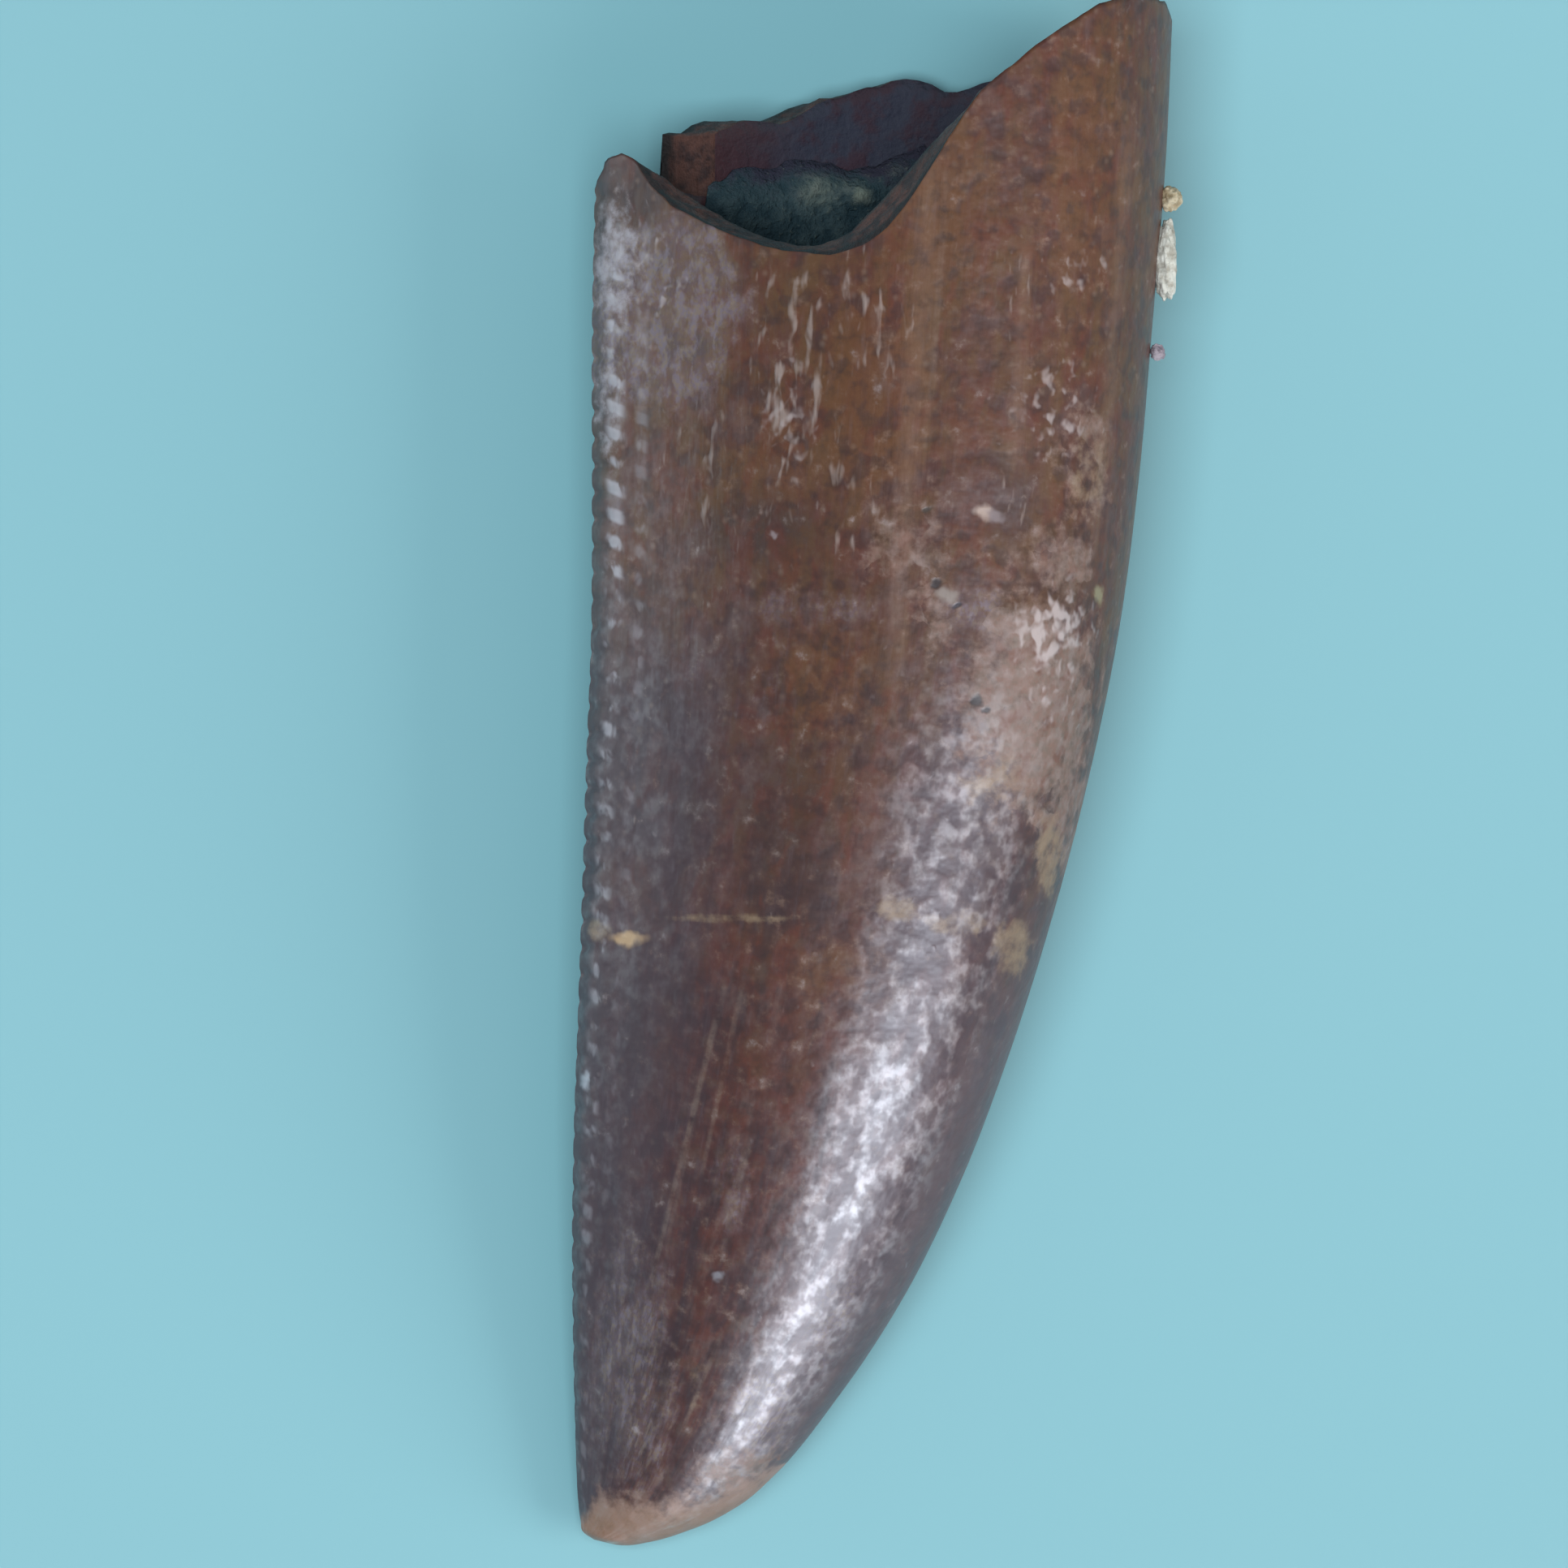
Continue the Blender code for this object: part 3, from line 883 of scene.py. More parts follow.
class EnamelGraph(Graph):
    """The enamel's node tree, with the patterns that its colour and its relief share."""

    def __init__(self) -> None:
        """Make the material and the shared patterns."""
        super().__init__("enamel")
        self.spot = self.place()
        self.along = self.node("ShaderNodeAttribute", {"attribute_name": "grain"}).outputs["Vector"]
        self.across, self.level, through = self.split(self.along)
        self.upper = through.step(0.0, 0.4)
        self.ragged = self.warp(3.0, 0.32)
        # Patterns that are the same in every direction
        self.mottle = self.cloud(self.spot, 2.6, 5.0, 0.62)
        self.speckle = self.cloud(self.spot, 9.0, 2.0, 0.6)
        self.lumps = self.cloud(self.spot, 2.1, 2.0, 0.5)
        # Patterns that are drawn out along the crown
        self.streaks = self.grained((2.8, 0.2, 0.8), 5.0, 0.62)
        self.hue = self.grained((0.62, 0.36, 0.5), 4.0)
        self.drift = self.grained((1.3, 0.8, 1.0), 3.0)
        # The broken gloss of the front face, whose blobs also take a painted highlight colour
        self.pebbles = self.cloud(self.stretch(self.spot, 4.2, 3.4, 4.0), 1.0, 2.0, 0.5, 0.1).step(0.36, 0.7)
        self.blobs = (self.lumps * 0.5 + self.drift * 0.5).step(0.42, 0.56) * (0.2 + self.pebbles)
        front = self.across.step(7.0, 9.0) * self.across.step(11.9, 10.7)
        self.front_face = front * self.level.step(20.0, 17.0)
        # Small pale spots, partly real and partly painted sparkle, which are crowded where the mesh asks for
        # them
        slivers = self.grained((5.2, 1.6, 2.0), 1.5, 0.5, 0.25)
        self.flecks_and_sparkle = (slivers + (self.attribute(Look.FLECKED_AND_SPARKLING.value) - 1.0) * 0.24).step(0.5, 0.76)
        crumbs = self.cloud(self.stretch(self.spot, 4.4, 3.4, 4.0), 1.0, 1.0, 0.5, 0.2)
        self.crumbs = (crumbs + (self.attribute(Look.CRUMBLY_AND_SPARKLING.value) - 1.0) * 0.26).step(0.43, 0.72)
        # Where the denticles take a higher gloss and a painted highlight colour
        self.denticles = self.denticle_gloss_and_painted_highlights()
        self.dabs = [self.dab(dab) for dab in DABS]

    def grained(self, scales: tuple[float, float, float], detail: float,
                roughness: float = 0.6, distortion: float = 0.0) -> Value:
        """Return noise that follows the crown's grain.

        Args:
            scales: How many features there are to a millimetre across, along and through it.
            detail: How many finer layers it has.
            roughness: How strong these are.
            distortion: How much it swirls.

        Returns:
            The noise.
        """
        return self.cloud(self.stretch(self.along, *scales), 1.0, detail, roughness, distortion)

    def warp(self, scale: float, reach: float) -> Socket:
        """Shift the place about, so that what is read there gets a ragged outline.

        Args:
            scale: How many features the shift has to a millimetre.
            reach: The shift's size, in millimetres.

        Returns:
            The shifted place.
        """
        cloud = self.node("ShaderNodeTexNoise", {}, {"Vector": self.spot, "Scale": scale, "Detail": 2.0})
        sockets = {0: cloud.outputs["Color"], 1: (reach,) * 3, 2: (-reach / 2.0,) * 3}
        shift = self.node("ShaderNodeVectorMath", {"operation": "MULTIPLY_ADD"}, sockets)
        return self.node("ShaderNodeVectorMath", {}, {0: self.spot, 1: shift.outputs[0]}).outputs[0]

    def cells(self, vector: Socket, scale: float) -> tuple[Value, tuple[Value, Value, Value]]:
        """Return how far a place is from its cell's middle, and three random numbers for each cell."""
        made = self.node("ShaderNodeTexVoronoi", {}, {"Vector": vector, "Scale": scale})
        return Value(self, made.outputs["Distance"]), self.split(made.outputs["Color"])

    def denticle_gloss_and_painted_highlights(self) -> Value:
        """Lay out the two columns of small painted highlights on the denticles, where the gloss is higher
        too.

        Returns:
            Where they show.
        """
        leaning = self.level - COLLAR_LEVEL + self.across * 0.4
        bodies = (leaning * (2.0 * math.pi / DENTICLE_PITCH)).wave()
        glitter = self.grained((2.6, 1.5, 1.0), 2.5, 0.55, 0.4)
        glitter = glitter + bodies * 0.06 + self.level.step(20.0, 26.0) * 0.08
        outer_column = self.across.step(0.25, 0.45) * self.across.step(0.85, 0.6)
        inner_column = self.across.step(0.95, 1.1) * self.across.step(1.35, 1.2) * 0.34
        fading = (self.level.step(3.0, 13.0) * 0.6 + 0.4) * self.level.step(29.3, 28.6)
        teeth = bodies.step(-0.8, 0.6).most(self.level.step(20.0, 27.0) * 0.7)
        return outer_column.most(inner_column) * glitter.step(0.46, 0.66) * teeth * fading

    def dab(self, dab: Dab) -> Value:
        """Return where a small spot of the upper flank shows.

        Args:
            dab: The spot's place and size.

        Returns:
            1 inside the spot and 0 outside.
        """
        middle = (dab.x, dab.level - CROWN_LENGTH / 2.0, 0.0)
        offset = self.node("ShaderNodeVectorMath", {"operation": "SUBTRACT"}, {0: self.ragged, 1: middle})
        scaled = self.stretch(offset.outputs[0], 1.0 / dab.half_width, 1.0 / dab.half_height, 0.0)
        reach = self.value("ShaderNodeVectorMath", {"operation": "LENGTH"}, {0: scaled}, "Value")
        return reach.step(1.5, 0.4) * self.upper

    def look(self, look: Look, raggedness: float, low: float, high: float) -> Value:
        """Return where a look of the mesh shows, with a broken edge.

        Args:
            look: The look.
            raggedness: How much its edge is broken up.
            low: Where the mask starts.
            high: Where it is full.

        Returns:
            The mask.
        """
        broken = (self.mottle - 0.5) * raggedness + (self.lumps - 0.5) * (raggedness * 0.6)
        return (self.attribute(look.value) + broken).step(low, high)

    def scratch(self, line: Scratch) -> Value:
        """Return where a fine line along the crown shows.

        Args:
            line: The line.

        Returns:
            The mask, as strong as the line is.
        """
        lean = (line.across[1] - line.across[0]) / (line.levels[1] - line.levels[0])
        middle = (self.level - line.levels[0]) * lean + line.across[0]
        width = line.half_width * 2.0
        strip = abs(self.across - middle + (self.streaks - 0.5) * width).step(width, line.half_width * 0.4)
        ends = self.level.step(line.levels[0] - 0.2, line.levels[0] + 0.2)
        ends = ends * self.level.step(line.levels[1] + 0.4, line.levels[1] - 0.8)
        return strip * ends * (self.mottle.step(0.3, 0.6) * line.strength)


@dataclass(frozen=True)
class EnamelFinish:
    """Old glossy enamel: orange brown at the root end and purple brown towards the tip."""

    olive: str = "#5e4029"
    red_brown: str = "#553026"
    tip_red: str = "#4f2622"
    tip_violet: str = "#3a252b"
    warm_brown: str = "#653f26"
    ember: str = "#602e22"
    stain: str = "#35272b"
    dark: str = "#2f2222"
    lilac: str = "#7d7280"
    mauve: str = "#6a5450"
    # Painted sparkle: pale specks that stand in for tiny highlights
    painted_sparkle: str = "#8a7468"
    cream: str = "#85766e"
    # A dark purple tone of the back face, and painted shade between the front face's highlight blobs
    purple_and_gap_shade: str = "#43343f"
    worn_pink: str = "#82655b"
    worn_grey: str = "#75645a"
    worn_pale: str = "#968684"
    rust: str = "#704739"
    tan: str = "#8b755f"
    tip_tan: str = "#8f6d58"
    tip_pink: str = "#9a7f78"
    pale: str = "#8a6c5a"
    scratch: str = "#8d7a70"
    # Painted reflections low on the back side and beside the front edge, and painted shade along the back
    # edge
    painted_slate_reflection: str = "#58545e"
    violet: str = "#5d525b"
    shade: str = "#4a4e54"
    # Pale flecks and crumbs, partly real and partly painted sparkle
    fleck_and_sparkle: str = "#ad9c98"
    crumb: str = "#b8aaac"
    # The painted highlight colour of the denticles, of the painted shine along the back edge and of the
    # front face's blobs
    painted_highlight: str = "#b5b0bb"

    def ground(self, g: EnamelGraph) -> Socket:
        """Lay out the browns that run along the crown, with their mottling.

        Args:
            g: The node tree.

        Returns:
            The colour.
        """
        root = g.blend((g.streaks * 0.35 + g.drift * 0.65).step(0.4, 0.6), self.olive, self.red_brown)
        tip = g.blend((g.streaks * 0.4 + g.hue * 0.6).step(0.4, 0.6), self.tip_violet, self.tip_red)
        rootward = (g.level + (g.hue - 0.5) * 18.0).step(8.0, 24.0)
        embers = g.grained((1.3, 0.75, 1.0), 3.0, 0.6, 0.6)
        return g.layer(
            g.blend(rootward, tip, root),
            (g.look(Look.WARM, 1.2, 0.3, 1.0) * 0.7, self.warm_brown),
            (g.look(Look.STAIN, 1.4, 0.2, 0.95) * 0.85, self.stain),
            (embers.step(0.48, 0.66) * 0.55, self.ember),
            (g.lumps.step(0.5, 0.34) * 0.45, self.stain),
            (g.lumps.step(0.52, 0.7) * 0.3, self.olive),
            (g.drift.step(0.54, 0.72) * 0.35, self.mauve),
            *((self.band(g, *band), self.pale) for band in PALE_BANDS),
            (g.mottle.step(0.52, 0.76) * 0.3, self.pale),
            (g.mottle.step(0.52, 0.3) * 0.35, self.dark),
        )

    def band(self, g: EnamelGraph, middle: float, half_width: float, low: float, high: float) -> Value:
        """Return where a pale band along the crown shows.

        Args:
            g: The node tree.
            middle: How far across the crown it lies.
            half_width: Its half width.
            low: The level where it starts.
            high: The level where it ends.

        Returns:
            The mask.
        """
        strip = abs(g.across + (g.streaks - 0.5) * 0.7 - middle).step(half_width, 0.0)
        return strip * g.level.step(low - 1.0, low + 1.0) * g.level.step(high + 1.0, high - 1.0) * 0.25

    def faces(self, g: EnamelGraph, colour: Socket) -> Socket:
        """Lay painted reflections low on the back side and beside the front edge, painted shade along the
        back edge, and a darker purple on the back face over the browns, and on the front face painted
        highlight blobs with painted shade between them.

        Args:
            g: The node tree.
            colour: The browns.

        Returns:
            The colour.
        """
        painted_reflection_low_left = g.across.step(3.2, 0.6) * g.level.step(15.0, 9.0)
        painted_reflection_low_right = (g.across - g.level * 0.07).step(9.4, 11.2) * g.level.step(17.0, 10.0)
        back_face = g.across.step(5.0, 2.0) * g.level.step(23.0, 18.0)
        return g.layer(
            colour,
            # Painted reflection low on the back side, and painted shade along the back edge
            (painted_reflection_low_left * (0.15 + g.mottle * 0.4), self.painted_slate_reflection),
            (g.across.step(0.5, 0.15) * 0.5, self.shade),
            # Painted violet reflection beside the front edge, low down
            (painted_reflection_low_right * (0.2 + g.mottle * 0.75), self.violet),
            # A darker purple tone on the back face; on the front face painted shade between the blobs, which
            # take a painted highlight colour
            (back_face * (0.25 + g.drift * 0.7), self.purple_and_gap_shade),
            (g.front_face * (0.6 - g.blobs * 0.6), self.purple_and_gap_shade),
            (g.front_face * g.blobs * (g.upper * 0.2 + 0.1), self.painted_highlight),
        )

    def marked(self, g: EnamelGraph, colour: Socket, haze_and_painted_sheen: Value, bare: Value, wear: Value) -> Socket:
        """Lay a lilac film with its painted shine and reflection, wear, painted sparkle, scratches, dabs and
        painted highlights over the browns.

        Args:
            g: The node tree.
            colour: The browns.
            haze_and_painted_sheen: Where the lilac film lies, which is partly painted shine and painted
                reflection.
            bare: Where the surface is worn bare.
            wear: Where the tip is worn down.

        Returns:
            The colour.
        """
        marbled = g.grained((3.4, 1.9, 2.0), 3.0, 0.6, 0.3).step(0.42, 0.62)
        fine = g.grained((5.0, 0.9, 2.0), 4.0, 0.65)
        lumps = (g.mottle * 0.6 + g.speckle * 0.4).step(0.36, 0.62)
        worn = g.layer(
            g.blend(lumps, self.worn_grey, self.worn_pink),
            (g.lumps.step(0.48, 0.34) * 0.7, self.rust),
            (g.pebbles * 0.5, self.worn_pale),
        )
        lines = [g.scratch(line) for line in SCRATCHES]
        bead_distance, chances = g.cells(g.spot, 3.2)
        # Painted sparkle: pale specks that stand in for tiny highlights
        painted_sparkles = bead_distance.step(0.36, 0.0) * chances[0].step(0.36, 0.35)
        # Painted highlights on the denticles, and painted shine along the back edge at the root end
        painted_denticle_highlights = g.denticles * (0.42 + g.level.step(15.0, 22.0) * 0.26)
        painted_sheen = g.look(Look.PAINTED_SHEEN, 2.4, 0.35, 1.5)
        return g.layer(
            colour,
            # A lilac film, partly painted shine and painted reflection
            (haze_and_painted_sheen * (0.2 + marbled * 0.5), g.blend(g.speckle.step(0.44, 0.58), self.lilac, self.cream)),
            (fine.step(0.52, 0.78) * 0.1, self.lilac),
            (bare * 0.85, worn),
            (g.look(Look.TAN, 1.2, 0.35, 1.0) * 0.85, self.tan),
            (wear * 0.92, g.blend(g.level.step(0.4, 1.8) * 0.6 + lumps * 0.4, self.tip_tan, self.tip_pink)),
            (lines[0].most(*lines[1:]) * g.upper, self.scratch),
            (painted_sparkles * (0.12 + g.level.step(14.0, 22.0) * 0.16), self.painted_sparkle),
            # Pale flecks and crumbs, partly real and partly painted sparkle
            (g.flecks_and_sparkle * 0.6, self.fleck_and_sparkle),
            (g.crumbs * (g.attribute(Look.CRUMBLY_AND_SPARKLING.value) * 0.5 + 0.2), self.crumb),
            (painted_denticle_highlights.most(painted_sheen * 0.75), self.painted_highlight),
            *((mask * 0.85, dab.colour) for mask, dab in zip(g.dabs, DABS)),
        )

    def material(self) -> bpy.types.Material:
        """Build the finish.

        Returns:
            Its material.
        """
        g = EnamelGraph()
        haze_and_painted_sheen = (g.attribute(Look.HAZE_AND_PAINTED_SHEEN.value) + (g.hue - 0.5) * 1.6 + (g.mottle - 0.5) * 0.9).step(0.3, 1.0)
        islands = (g.cells(g.ragged, 1.7)[1][1] - 0.5) * 0.3
        bare = (g.attribute(Look.WORN.value) + islands + (g.mottle - 0.5) * 1.4).step(0.3, 0.9)
        wear = (g.attribute("tip_wear") + (g.mottle - 0.5) * 1.6).step(0.15, 1.0)
        colour = self.marked(g, self.faces(g, self.ground(g)), haze_and_painted_sheen, bare, wear)
        rough = 0.44 + haze_and_painted_sheen * 0.05 + bare.most(wear) * 0.1 + (g.mottle - 0.5) * 0.2
        rills = g.grained((5.5, 0.8, 2.0), 2.0, 0.55) * g.level.step(12.0, 24.0)
        hollows = [mask * dab.sunk for mask, dab in zip(g.dabs, DABS) if dab.sunk]
        grit = g.flecks_and_sparkle + g.crumbs - hollows[0].most(*hollows[1:]) * 2.0
        normal = g.bump((rills, 0.016), (g.lumps, 0.035), (grit, 0.012))
        gloss = (0.16 + g.blobs * 0.85) * (g.level.step(27.0, 19.0) * 0.8 + 0.2) * (1.0 - bare * 0.3)
        gloss = (gloss * g.across.step(12.2, 10.8)).most(g.denticles, g.flecks_and_sparkle.most(g.crumbs) * 0.7)
        return g.dress(Base_Color=colour, Roughness=rough, Normal=normal, IOR=1.5,
                       Coat_Weight=gloss, Coat_Roughness=0.36, Coat_IOR=1.5)


@dataclass(frozen=True)
class FractureFinish:
    """The broken edge of the wall: a dark enamel skin over layered brown dentine."""

    skin: str = "#2a2425"
    dentine: str = "#5b3e38"
    dentine_dark: str = "#37292a"

    def material(self) -> bpy.types.Material:
        """Build the finish.

        Returns:
            Its material.
        """
        g = Graph("fractured_wall")
        place = g.place()
        lumps = g.cloud(place, 2.4, 4.0, 0.6)
        layers = g.cloud(g.stretch(place, 1.0, 0.4, 1.0), 5.0)
        colour = g.blend(lumps.step(0.35, 0.65), self.dentine_dark, self.dentine)
        colour = g.blend((g.attribute("depth") + (layers - 0.5) * 0.3).step(0.3, 0.12), colour, self.skin)
        normal = g.bump((layers, 0.1), (lumps, 0.1))
        return g.dress(Base_Color=colour, Roughness=0.5 + layers * 0.25, Normal=normal, IOR=1.45)


@dataclass(frozen=True)
class CavityFinish:
    """The pulp cavity's wall: nearly black, with a violet cast and a red one at the back."""

    wall: str = "#383a49"
    wall_brown: str = "#3f303b"
    wall_red: str = "#4b2f33"

    def material(self) -> bpy.types.Material:
        """Build the finish.

        Returns:
            Its material.
        """
        g = Graph("cavity_wall")
        place = g.place()
        lumps = g.cloud(place, 1.3, 4.0, 0.6)
        fine = g.cloud(place, 6.0, 3.0, 0.6)
        backward = (g.split(place)[0] + (lumps - 0.5) * 3.0).step(-1.6, -3.8)
        colour = g.blend(lumps.step(0.42, 0.62), self.wall, self.wall_brown)
        colour = g.blend(backward * 0.85, colour, self.wall_red)
        normal = g.bump((lumps, 0.12), (fine, 0.04))
        return g.dress(Base_Color=colour, Roughness=0.4 + fine * 0.2, Normal=normal, IOR=1.5)


@dataclass(frozen=True)
class SedimentFinish:
    """Old river sediment: dark blue green, with paler lumps and a violet film at its upper edge."""

    dark: str = "#2e424b"
    mid: str = "#46585e"
    pale: str = "#8e978c"
    film: str = "#353444"
    # Painted shade, darker towards the serrated back edge's side of the cavity
    painted_shade: str = "#22323b"

    def material(self) -> bpy.types.Material:
        """Build the finish.

        Returns:
            Its material.
        """
        g = Graph("sediment")
        place = g.place()
        lumps = g.cloud(place, 1.6, 4.0, 0.62)
        grit = g.cloud(place, 8.0, 3.0, 0.65)
        x, y, _ = g.split(place)
        level = y + CROWN_LENGTH / 2.0 + (lumps - 0.5) * 2.4
        crumbs = g.attribute("crumb") * (0.4 + lumps) + (grit - 0.5) * 0.4
        colour = g.layer(
            g.blend(lumps.step(0.38, 0.62), self.dark, self.mid),
            # Painted shade towards the serrated back edge's side of the cavity
            ((x + (lumps - 0.5) * 2.0).step(-1.3, -2.8) * 0.3, self.painted_shade),
            (level.step(29.7, 30.5), self.film),
            (grit.step(0.6, 0.78) * 0.3, self.pale),
            (crumbs.step(0.08, 0.75) * 0.8, self.pale),
        )
        normal = g.bump((lumps, 0.2), (grit, 0.09))
        return g.dress(Base_Color=colour, Roughness=0.62 + grit * 0.25, Normal=normal, IOR=1.45)


@dataclass(frozen=True)
class GritFinish:
    """A grain of pale lime grit."""

    name: str
    pale: str
    dark: str

    def material(self) -> bpy.types.Material:
        """Build the finish.

        Returns:
            Its material.
        """
        g = Graph(self.name)
        lumps = g.cloud(g.place(), 5.0, 4.0, 0.6)
        colour = g.blend(lumps.step(0.34, 0.62), self.dark, self.pale)
        normal = g.bump((lumps, 0.08))
        return g.dress(Base_Color=colour, Roughness=0.7 + lumps * 0.25, Normal=normal, IOR=1.45)


@dataclass
class Crown:
    """The tooth itself: one hollow piece of enamel and dentine."""

    form: CrownForm
    back_columns: int = 13
    upper_columns: int = 93
    under_columns: int = 44
    step_angles: tuple[float, ...] = (318.0, 320.0, 320.9, 324.0)
    tip_rows: int = 22
    serrated_rows: int = 350
    collar_rows: int = 60
    fracture_rows: int = 7
    mouth_rows: int = 16
    cavity_rows: int = 22
    chip_size: float = 0.07
    upper_chips: float = 0.04
    lower_chips: float = 0.1
    fracture_lumps: float = 0.7
    fracture_roughness: float = 0.05

    def angles(self) -> np.ndarray:
        """Space out the angles round the crown, closer at the serrations and at the rim's step.

        Returns:
            The angles, from 0 to 360.
        """
        near = np.linspace(0.0, DENTICLE_REACH, self.back_columns)
        over = np.linspace(DENTICLE_REACH, 180.0, self.upper_columns)[1:]
        under = np.linspace(180.0, self.step_angles[0], self.under_columns)[1:]
        return np.concatenate((near, over, under, self.step_angles[1:], 360.0 - near[::-1]))

    def chips(self, angle: np.ndarray) -> np.ndarray:
        """Return how far the rim's small chips stand out, which is more on the lower wall."""
        height = np.where(angle > 180.0, self.lower_chips, self.upper_chips)
        return ruggedness(ring(angle), self.chip_size, 3) * height

    def outside(self, angle: np.ndarray, chips: np.ndarray) -> tuple[np.ndarray, np.ndarray]:
        """Lay out the rows of the outer surface, from the tip to the rim.

        Args:
            angle: The angles round the crown.
            chips: How far the rim's chips stand out.

        Returns:
            The points and their grain.
        """
        blunt_level = SECTIONS[0][0]
        tip = blunt_level + (SERRATED_LEVEL - blunt_level) * np.linspace(0.0, 1.0, self.tip_rows) ** 1.6
        serrated = np.linspace(SERRATED_LEVEL, COLLAR_LEVEL, self.serrated_rows)[1:]
        flat = np.concatenate((tip, serrated))[:, None] + np.zeros_like(angle)
        top = self.form.rim(angle, UPPER_RIM, LOWER_RIM) + chips
        up = np.linspace(0.0, 1.0, self.collar_rows + 1)[1:, None]
        levels = np.vstack((flat, COLLAR_LEVEL + (top - COLLAR_LEVEL) * up))
        return self.form.outer(levels, np.broadcast_to(angle, levels.shape))

    def inside(self, angle: np.ndarray, chips: np.ndarray) -> tuple[np.ndarray, np.ndarray]:
        """Lay out the rows of the cavity's wall, from the rim to the cavity's end.

        Args:
            angle: The angles round the crown.
            chips: How far the rim's chips stand out.

        Returns:
            The points and their grain.
        """
        rim = self.form.rim(angle, UPPER_RIM_INSIDE, LOWER_RIM_INSIDE) + chips
        mouth = rim + (COLLAR_LEVEL - rim) * np.linspace(0.0, 1.0, self.mouth_rows + 1)[:, None]
        deep = np.linspace(0.0, 1.0, self.cavity_rows + 1)[1:, None] ** 0.75
        deep = COLLAR_LEVEL + (CAVITY_END_LEVEL - COLLAR_LEVEL) * deep + np.zeros_like(angle)
        levels = np.vstack((mouth, deep))
        across = np.broadcast_to(self.form.share(angle) * CROWN_WIDTH, levels.shape)
        wall = self.form.cavity(levels, np.broadcast_to(angle, levels.shape))
        return wall, np.stack((across, levels, np.zeros_like(levels)), axis=-1)

    def broken(self, outer_rim: np.ndarray, inner_rim: np.ndarray) -> tuple[np.ndarray, np.ndarray]:
        """Lay out the rows of the broken wall, from its outer to its inner rim.

        Args:
            outer_rim: The last points of the outer surface.
            inner_rim: The first points of the cavity's wall.

        Returns:
            The points, and how deep in the wall each of them lies, from 0 to 1.
        """
        depth = np.linspace(0.0, 1.0, self.fracture_rows + 2)[1:-1, None] + np.zeros(len(outer_rim))
        points = outer_rim + (inner_rim - outer_rim) * depth[..., None]
        crumble = ruggedness(points, self.fracture_lumps, 4) * np.sin(depth * math.pi)
        points[..., 1] += crumble * self.fracture_roughness * 2.0
        points[..., 2] += crumble * self.fracture_roughness
        return points, depth

    def marks(self, points: np.ndarray, upper: np.ndarray) -> dict[str, np.ndarray]:
        """Return how strongly each look shows at each point.

        Args:
            points: The crown's points.
            upper: Which of them are on the upper flank.

        Returns:
            A field for each look.
        """
        x, y = points[..., 0], points[..., 1]
        fields = {}
        for look, patches in MARKS.items():
            field = np.zeros(x.shape)
            for mark in patches:
                reach = np.hypot((x - mark.x) / mark.half_width, (y - mark.level) / mark.half_height)
                own = np.clip(1.5 - reach, 0.0, 1.0) * mark.strength * (upper == mark.upper)
                field = np.maximum(field, own)
            fields[look.value] = field
        return fields

    def tip_wear(self, points: np.ndarray) -> np.ndarray:
        """Return how worn the crown is along the blunt edge of its tip.

        Args:
            points: The crown's points.

        Returns:
            The wear at each point, 1 or more where it is bare.
        """
        x, y = points[..., 0], points[..., 1]
        edge = np.interp(x, SECTIONS[:8, 2], SECTIONS[:8, 3])
        band = read(TIP_WEAR, x)
        return np.where(band > 0.0, np.clip(1.5 - (y - edge) / np.maximum(band, 0.01), 0.0, 1.0), 0.0)

    def build(self) -> None:
        """Make the tooth, from its tip over the rim to the end of the cavity, and dress it."""
        angle = self.angles()
        chips = self.chips(angle)
        outer, outer_grain = self.outside(angle, chips)
        inner, inner_grain = self.inside(angle, chips)
        broken, broken_depth = self.broken(outer[-1], inner[0])
        points = np.concatenate((outer, broken, inner))
        grain = np.concatenate((outer_grain, np.repeat(outer_grain[-1:], len(broken), axis=0), inner_grain))
        depth = np.concatenate((np.zeros(outer.shape[:2]), broken_depth, np.ones(inner.shape[:2])))
        fields = {"grain": grain, "depth": depth, "tip_wear": self.tip_wear(points)}
        fields.update(self.marks(points, grain[..., 2] >= 0.0))
        rows = {Part.ENAMEL: len(outer) - 1, Part.FRACTURE: len(broken) + 1, Part.CAVITY: len(inner)}
        parts = np.repeat([part.value for part in rows], list(rows.values()))
        finishes = (EnamelFinish(), FractureFinish(), CavityFinish())
        piece = lay_sheet("fossil_tooth", points, fields, parts, *(finish.material() for finish in finishes))
        settle(piece, "enamel", "tooth")


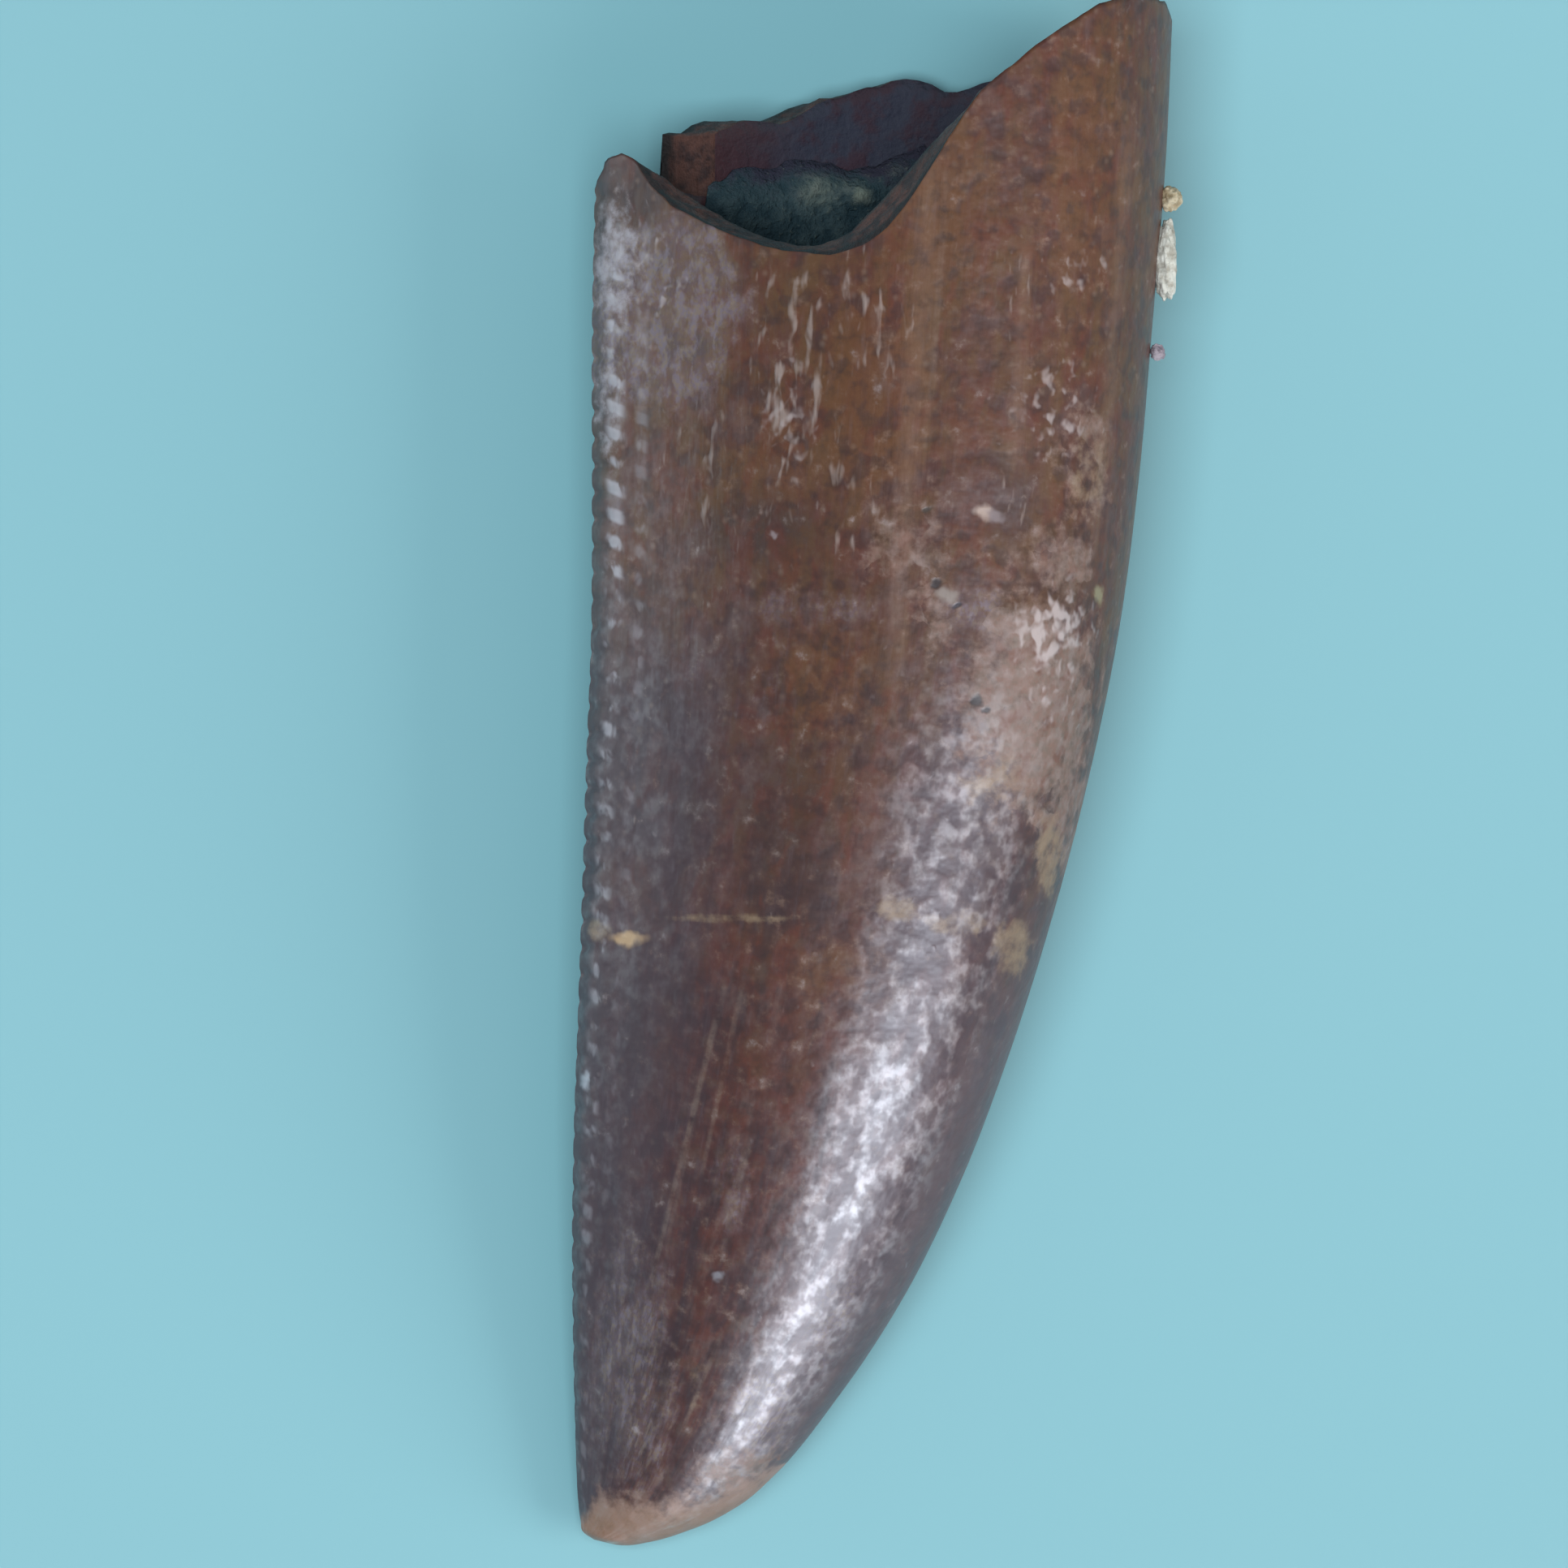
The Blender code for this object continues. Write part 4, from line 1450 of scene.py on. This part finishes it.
@dataclass
class Sediment:
    """The sediment that fills the end of the cavity and lines its lower wall."""

    form: CrownForm
    columns: int = 150
    wall_inset: float = 0.03
    thickness: float = 0.3
    side_rows: int = 24
    back_rows: int = 26
    face_rows: int = 40
    top_rows: int = 22
    shoulder_drop: float = 0.6
    top_dip: float = 0.5
    edge_chips: float = 0.16
    lump_size: float = 0.5
    lump_height: float = 0.07
    lumps: tuple[tuple[float, float, float, float, float], ...] = (
        # X, level, radius, height and paleness of each large lump
        (-0.34, 29.75, 0.2, 0.3, 1.0),
        (-1.3, 29.9, 0.55, 0.14, 0.5),
        (0.35, 30.5, 0.35, 0.18, 0.5),
        (-0.6, 30.1, 0.5, 0.1, 0.42),
        (-2.86, 29.4, 0.4, 0.14, 0.0),
        (-2.0, 29.2, 0.4, 0.12, 0.2),
        (-3.6, 29.7, 0.35, 0.12, 0.1),
    )

    def layout(self, edge: np.ndarray) -> tuple[np.ndarray, np.ndarray, np.ndarray]:
        """Lay out the rings: the plug's foot and side, the sheet's back and face, the plug's top.

        Args:
            edge: The level of the sediment's edge at each angle.

        Returns:
            The level of each point, how far inside the wall each ring lies, and how far out from
            the cavity's middle it reaches.
        """
        shoulder = SEDIMENT_TOP - self.shoulder_drop
        flat = np.zeros_like(edge)
        side = np.linspace(SEDIMENT_FOOT, shoulder, self.side_rows)[:, None] + flat
        back = shoulder + (edge - shoulder) * np.linspace(0.02, 1.0, self.back_rows)[:, None]
        down = np.linspace(1.0, 0.0, self.face_rows)[:, None]
        face = SEDIMENT_TOP + (edge - SEDIMENT_TOP) * down
        inward = np.linspace(0.95, 0.0, self.top_rows)[:, None]
        top = SEDIMENT_TOP - self.top_dip * (1.0 - inward) + flat
        levels = np.vstack((SEDIMENT_FOOT - 0.2 + flat, side, back, face, top))
        rounding = np.minimum(1.0, (1.0 - down) * 9.0 + 0.12)
        behind = np.zeros((1 + len(side) + len(back), 1))
        insets = self.wall_inset + self.thickness * np.vstack((behind, rounding, np.ones_like(inward)))
        shares = np.vstack((np.zeros((1, 1)), np.ones((len(side) + len(back) + len(face), 1)), inward))
        return levels, insets, shares

    def build(self) -> None:
        """Make the sediment and dress it."""
        angle = np.linspace(0.0, 360.0, self.columns + 1)
        edge = self.form.rim(angle, SEDIMENT_UPPER_EDGE, SEDIMENT_LOWER_EDGE)
        edge = edge + self.edge_chips * ruggedness(ring(angle), 0.12, 3) * (edge > SEDIMENT_TOP + 0.2)
        levels, insets, shares = self.layout(edge)
        wall = self.form.cavity(levels, angle, insets)
        back, front, _, _, _, edge_z = self.form.section(levels)
        middle = np.stack(((back + BACK_WALL + front - FRONT_WALL) / 2.0, levels, edge_z), axis=-1)
        points = middle + (wall - middle) * shares[..., None]
        exposed = smooth(insets, 0.05, 0.3) * shares ** 0.3
        swell = ruggedness(points, self.lump_size, 4) * self.lump_height * exposed
        crumb = np.zeros(points.shape[:2])
        for x, level, radius, height, paleness in self.lumps:
            reach = np.hypot(points[..., 0] - x, points[..., 1] - level) / radius
            own = np.exp(-reach ** 2) * (angle > 180.0) * exposed
            swell = swell + own * height
            crumb = np.maximum(crumb, own * paleness)
        points[..., 2] += swell
        parts = np.zeros(len(points), int)
        finish = SedimentFinish().material()
        piece = lay_sheet("cavity_sediment_fine", points, {"crumb": crumb}, parts, finish)
        settle(piece, "sediment", "cavity_sediment")


@dataclass
class Grain:
    """One grain of grit on the crown's front edge."""

    node: str
    finish: GritFinish
    inward: float
    seed: int
    squash: float = 0.96
    breadth: float = 1.25
    roughness: float = 0.22
    dents: float = 0.12

    def build(self) -> None:
        """Make the grain in its node's place, pushed against the tooth, and dress it."""
        low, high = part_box(self.node)
        middle, half = (low + high) / 2.0, (high - low) / 2.0
        bm = bmesh.new()
        bmesh.ops.create_icosphere(bm, subdivisions=5, radius=1.0)
        for vertex in bm.verts:
            spot = vertex.co * 1.3 + Vector((self.seed * 7.0, 0.0, 0.0))
            swell = self.squash + self.roughness * noise.fractal(spot, 0.9, 2.1, 5)
            swell += self.dents * noise.noise(spot * 2.3)
            vertex.co = [m + h * swell * c for m, h, c in zip(middle, half, vertex.co)]
            vertex.co.x = middle.x + (vertex.co.x - middle.x) * self.breadth - self.inward * UNIT
        settle(make_piece(bm, f"{self.node}_fine", self.finish.material()), "pale_grit", self.node)


@dataclass(frozen=True)
class SoftBox:
    """One long soft studio lamp, whose two ends lie in two directions from the tooth.

    Its light falls on surfaces as diffuse light, shows in their gloss, or both.
    """

    name: str
    first_end: tuple[float, float, float]
    second_end: tuple[float, float, float]
    width: float
    power: float
    colour: tuple[float, float, float]
    diffuse: bool = True
    glossy: bool = True
    distance: float = 0.5

    def build(self, target: Vector) -> None:
        """Make the lamp.

        Args:
            target: What it is aimed at.
        """
        first = Vector(self.first_end).normalized() * self.distance
        second = Vector(self.second_end).normalized() * self.distance
        data = bpy.data.lights.new(self.name, "AREA")
        data.shape = "RECTANGLE"
        data.size, data.size_y = self.width, (second - first).length
        data.energy = self.power
        data.color = self.colour
        lamp = bpy.data.objects.new(self.name, data)
        lamp.visible_diffuse, lamp.visible_glossy = self.diffuse, self.glossy
        away, along = (first + second).normalized(), (second - first).normalized()
        lamp.location = target + away * self.distance
        lamp.rotation_euler = Matrix((along.cross(away), along, away)).transposed().to_euler()
        bpy.context.collection.objects.link(lamp)


LAMPS = (
    SoftBox("key", (0.44, -0.43, 0.79), (0.06, -0.95, 0.33), 0.34, 6.2, (0.82, 0.89, 1.0), diffuse=False),
    SoftBox("window", (-1.0, -0.1, 0.07), (-1.0, 0.5, 0.08), 0.06, 0.4, (0.85, 0.92, 1.0)),
    SoftBox("side", (0.8, -0.6, 0.5), (0.85, 0.0, 0.5), 0.3, 1.45, (1.0, 0.91, 0.85), glossy=False),
    SoftBox("top", (-0.1, -0.3, 1.0), (-0.1, 0.15, 1.0), 0.25, 1.7, (0.95, 1.0, 1.0), glossy=False),
)


@dataclass
class Studio:
    """The plain floor, the soft light and the camera that looks straight down."""

    floor_colour: str = "#87bdca"
    floor_size: float = 1.2
    sky_colour: str = "#e4f2f4"
    sky_strength: float = 0.28
    view_width: float = 34.374
    view_x: float = -2.046
    view_y: float = -0.24
    view_height: float = 3.85
    camera_distance: float = 0.5
    lamps: tuple[SoftBox, ...] = LAMPS

    def build(self) -> None:
        """Make the floor, the light and the camera."""
        bm = bmesh.new()
        bmesh.ops.create_grid(bm, x_segments=1, y_segments=1, size=self.floor_size / 2.0)
        plain = Graph("floor").dress(Base_Color=self.floor_colour, Roughness=0.75)
        floor = make_piece(bm, "floor", plain)
        world = bpy.data.worlds.new("studio")
        world.use_nodes = True
        sky = world.node_tree.nodes["Background"]
        sky.inputs["Color"].default_value = tone(self.sky_colour)
        sky.inputs["Strength"].default_value = self.sky_strength
        bpy.context.scene.world = world
        bpy.context.scene.view_settings.view_transform = "Standard"
        for lamp in self.lamps:
            lamp.build(Vector((0.0, 0.0, TOOTH_HIGH.z / 2.0)))
        self.aim_camera()

    def aim_camera(self) -> None:
        """Make the camera, square over the middle of its view."""
        data = bpy.data.cameras.new("camera")
        data.sensor_width = 36.0
        data.lens = data.sensor_width * self.camera_distance / (self.view_width * UNIT)
        camera = bpy.data.objects.new("camera", data)
        middle = Vector((self.view_x, self.view_y, self.view_height)) * UNIT
        camera.location = middle + Vector((0.0, 0.0, self.camera_distance))
        bpy.context.collection.objects.link(camera)
        bpy.context.scene.camera = camera


def main() -> None:
    """Build every piece in order and report it."""
    logging.basicConfig(level=logging.INFO, format="%(message)s")
    form = CrownForm()
    Crown(form).build()
    Sediment(form).build()
    Grain("grit_upper", GritFinish("tan_grit", "#c2b79f", "#978669"), 0.2, 1).build()
    Grain("grit_middle", GritFinish("white_grit", "#d2d3cd", "#a5a197"), 0.2, 2).build()
    Grain("grit_lower", GritFinish("mauve_grit", "#a39aa6", "#7f7480"), 0.15, 3).build()
    Studio().build()


if __name__ == "__main__":
    main()
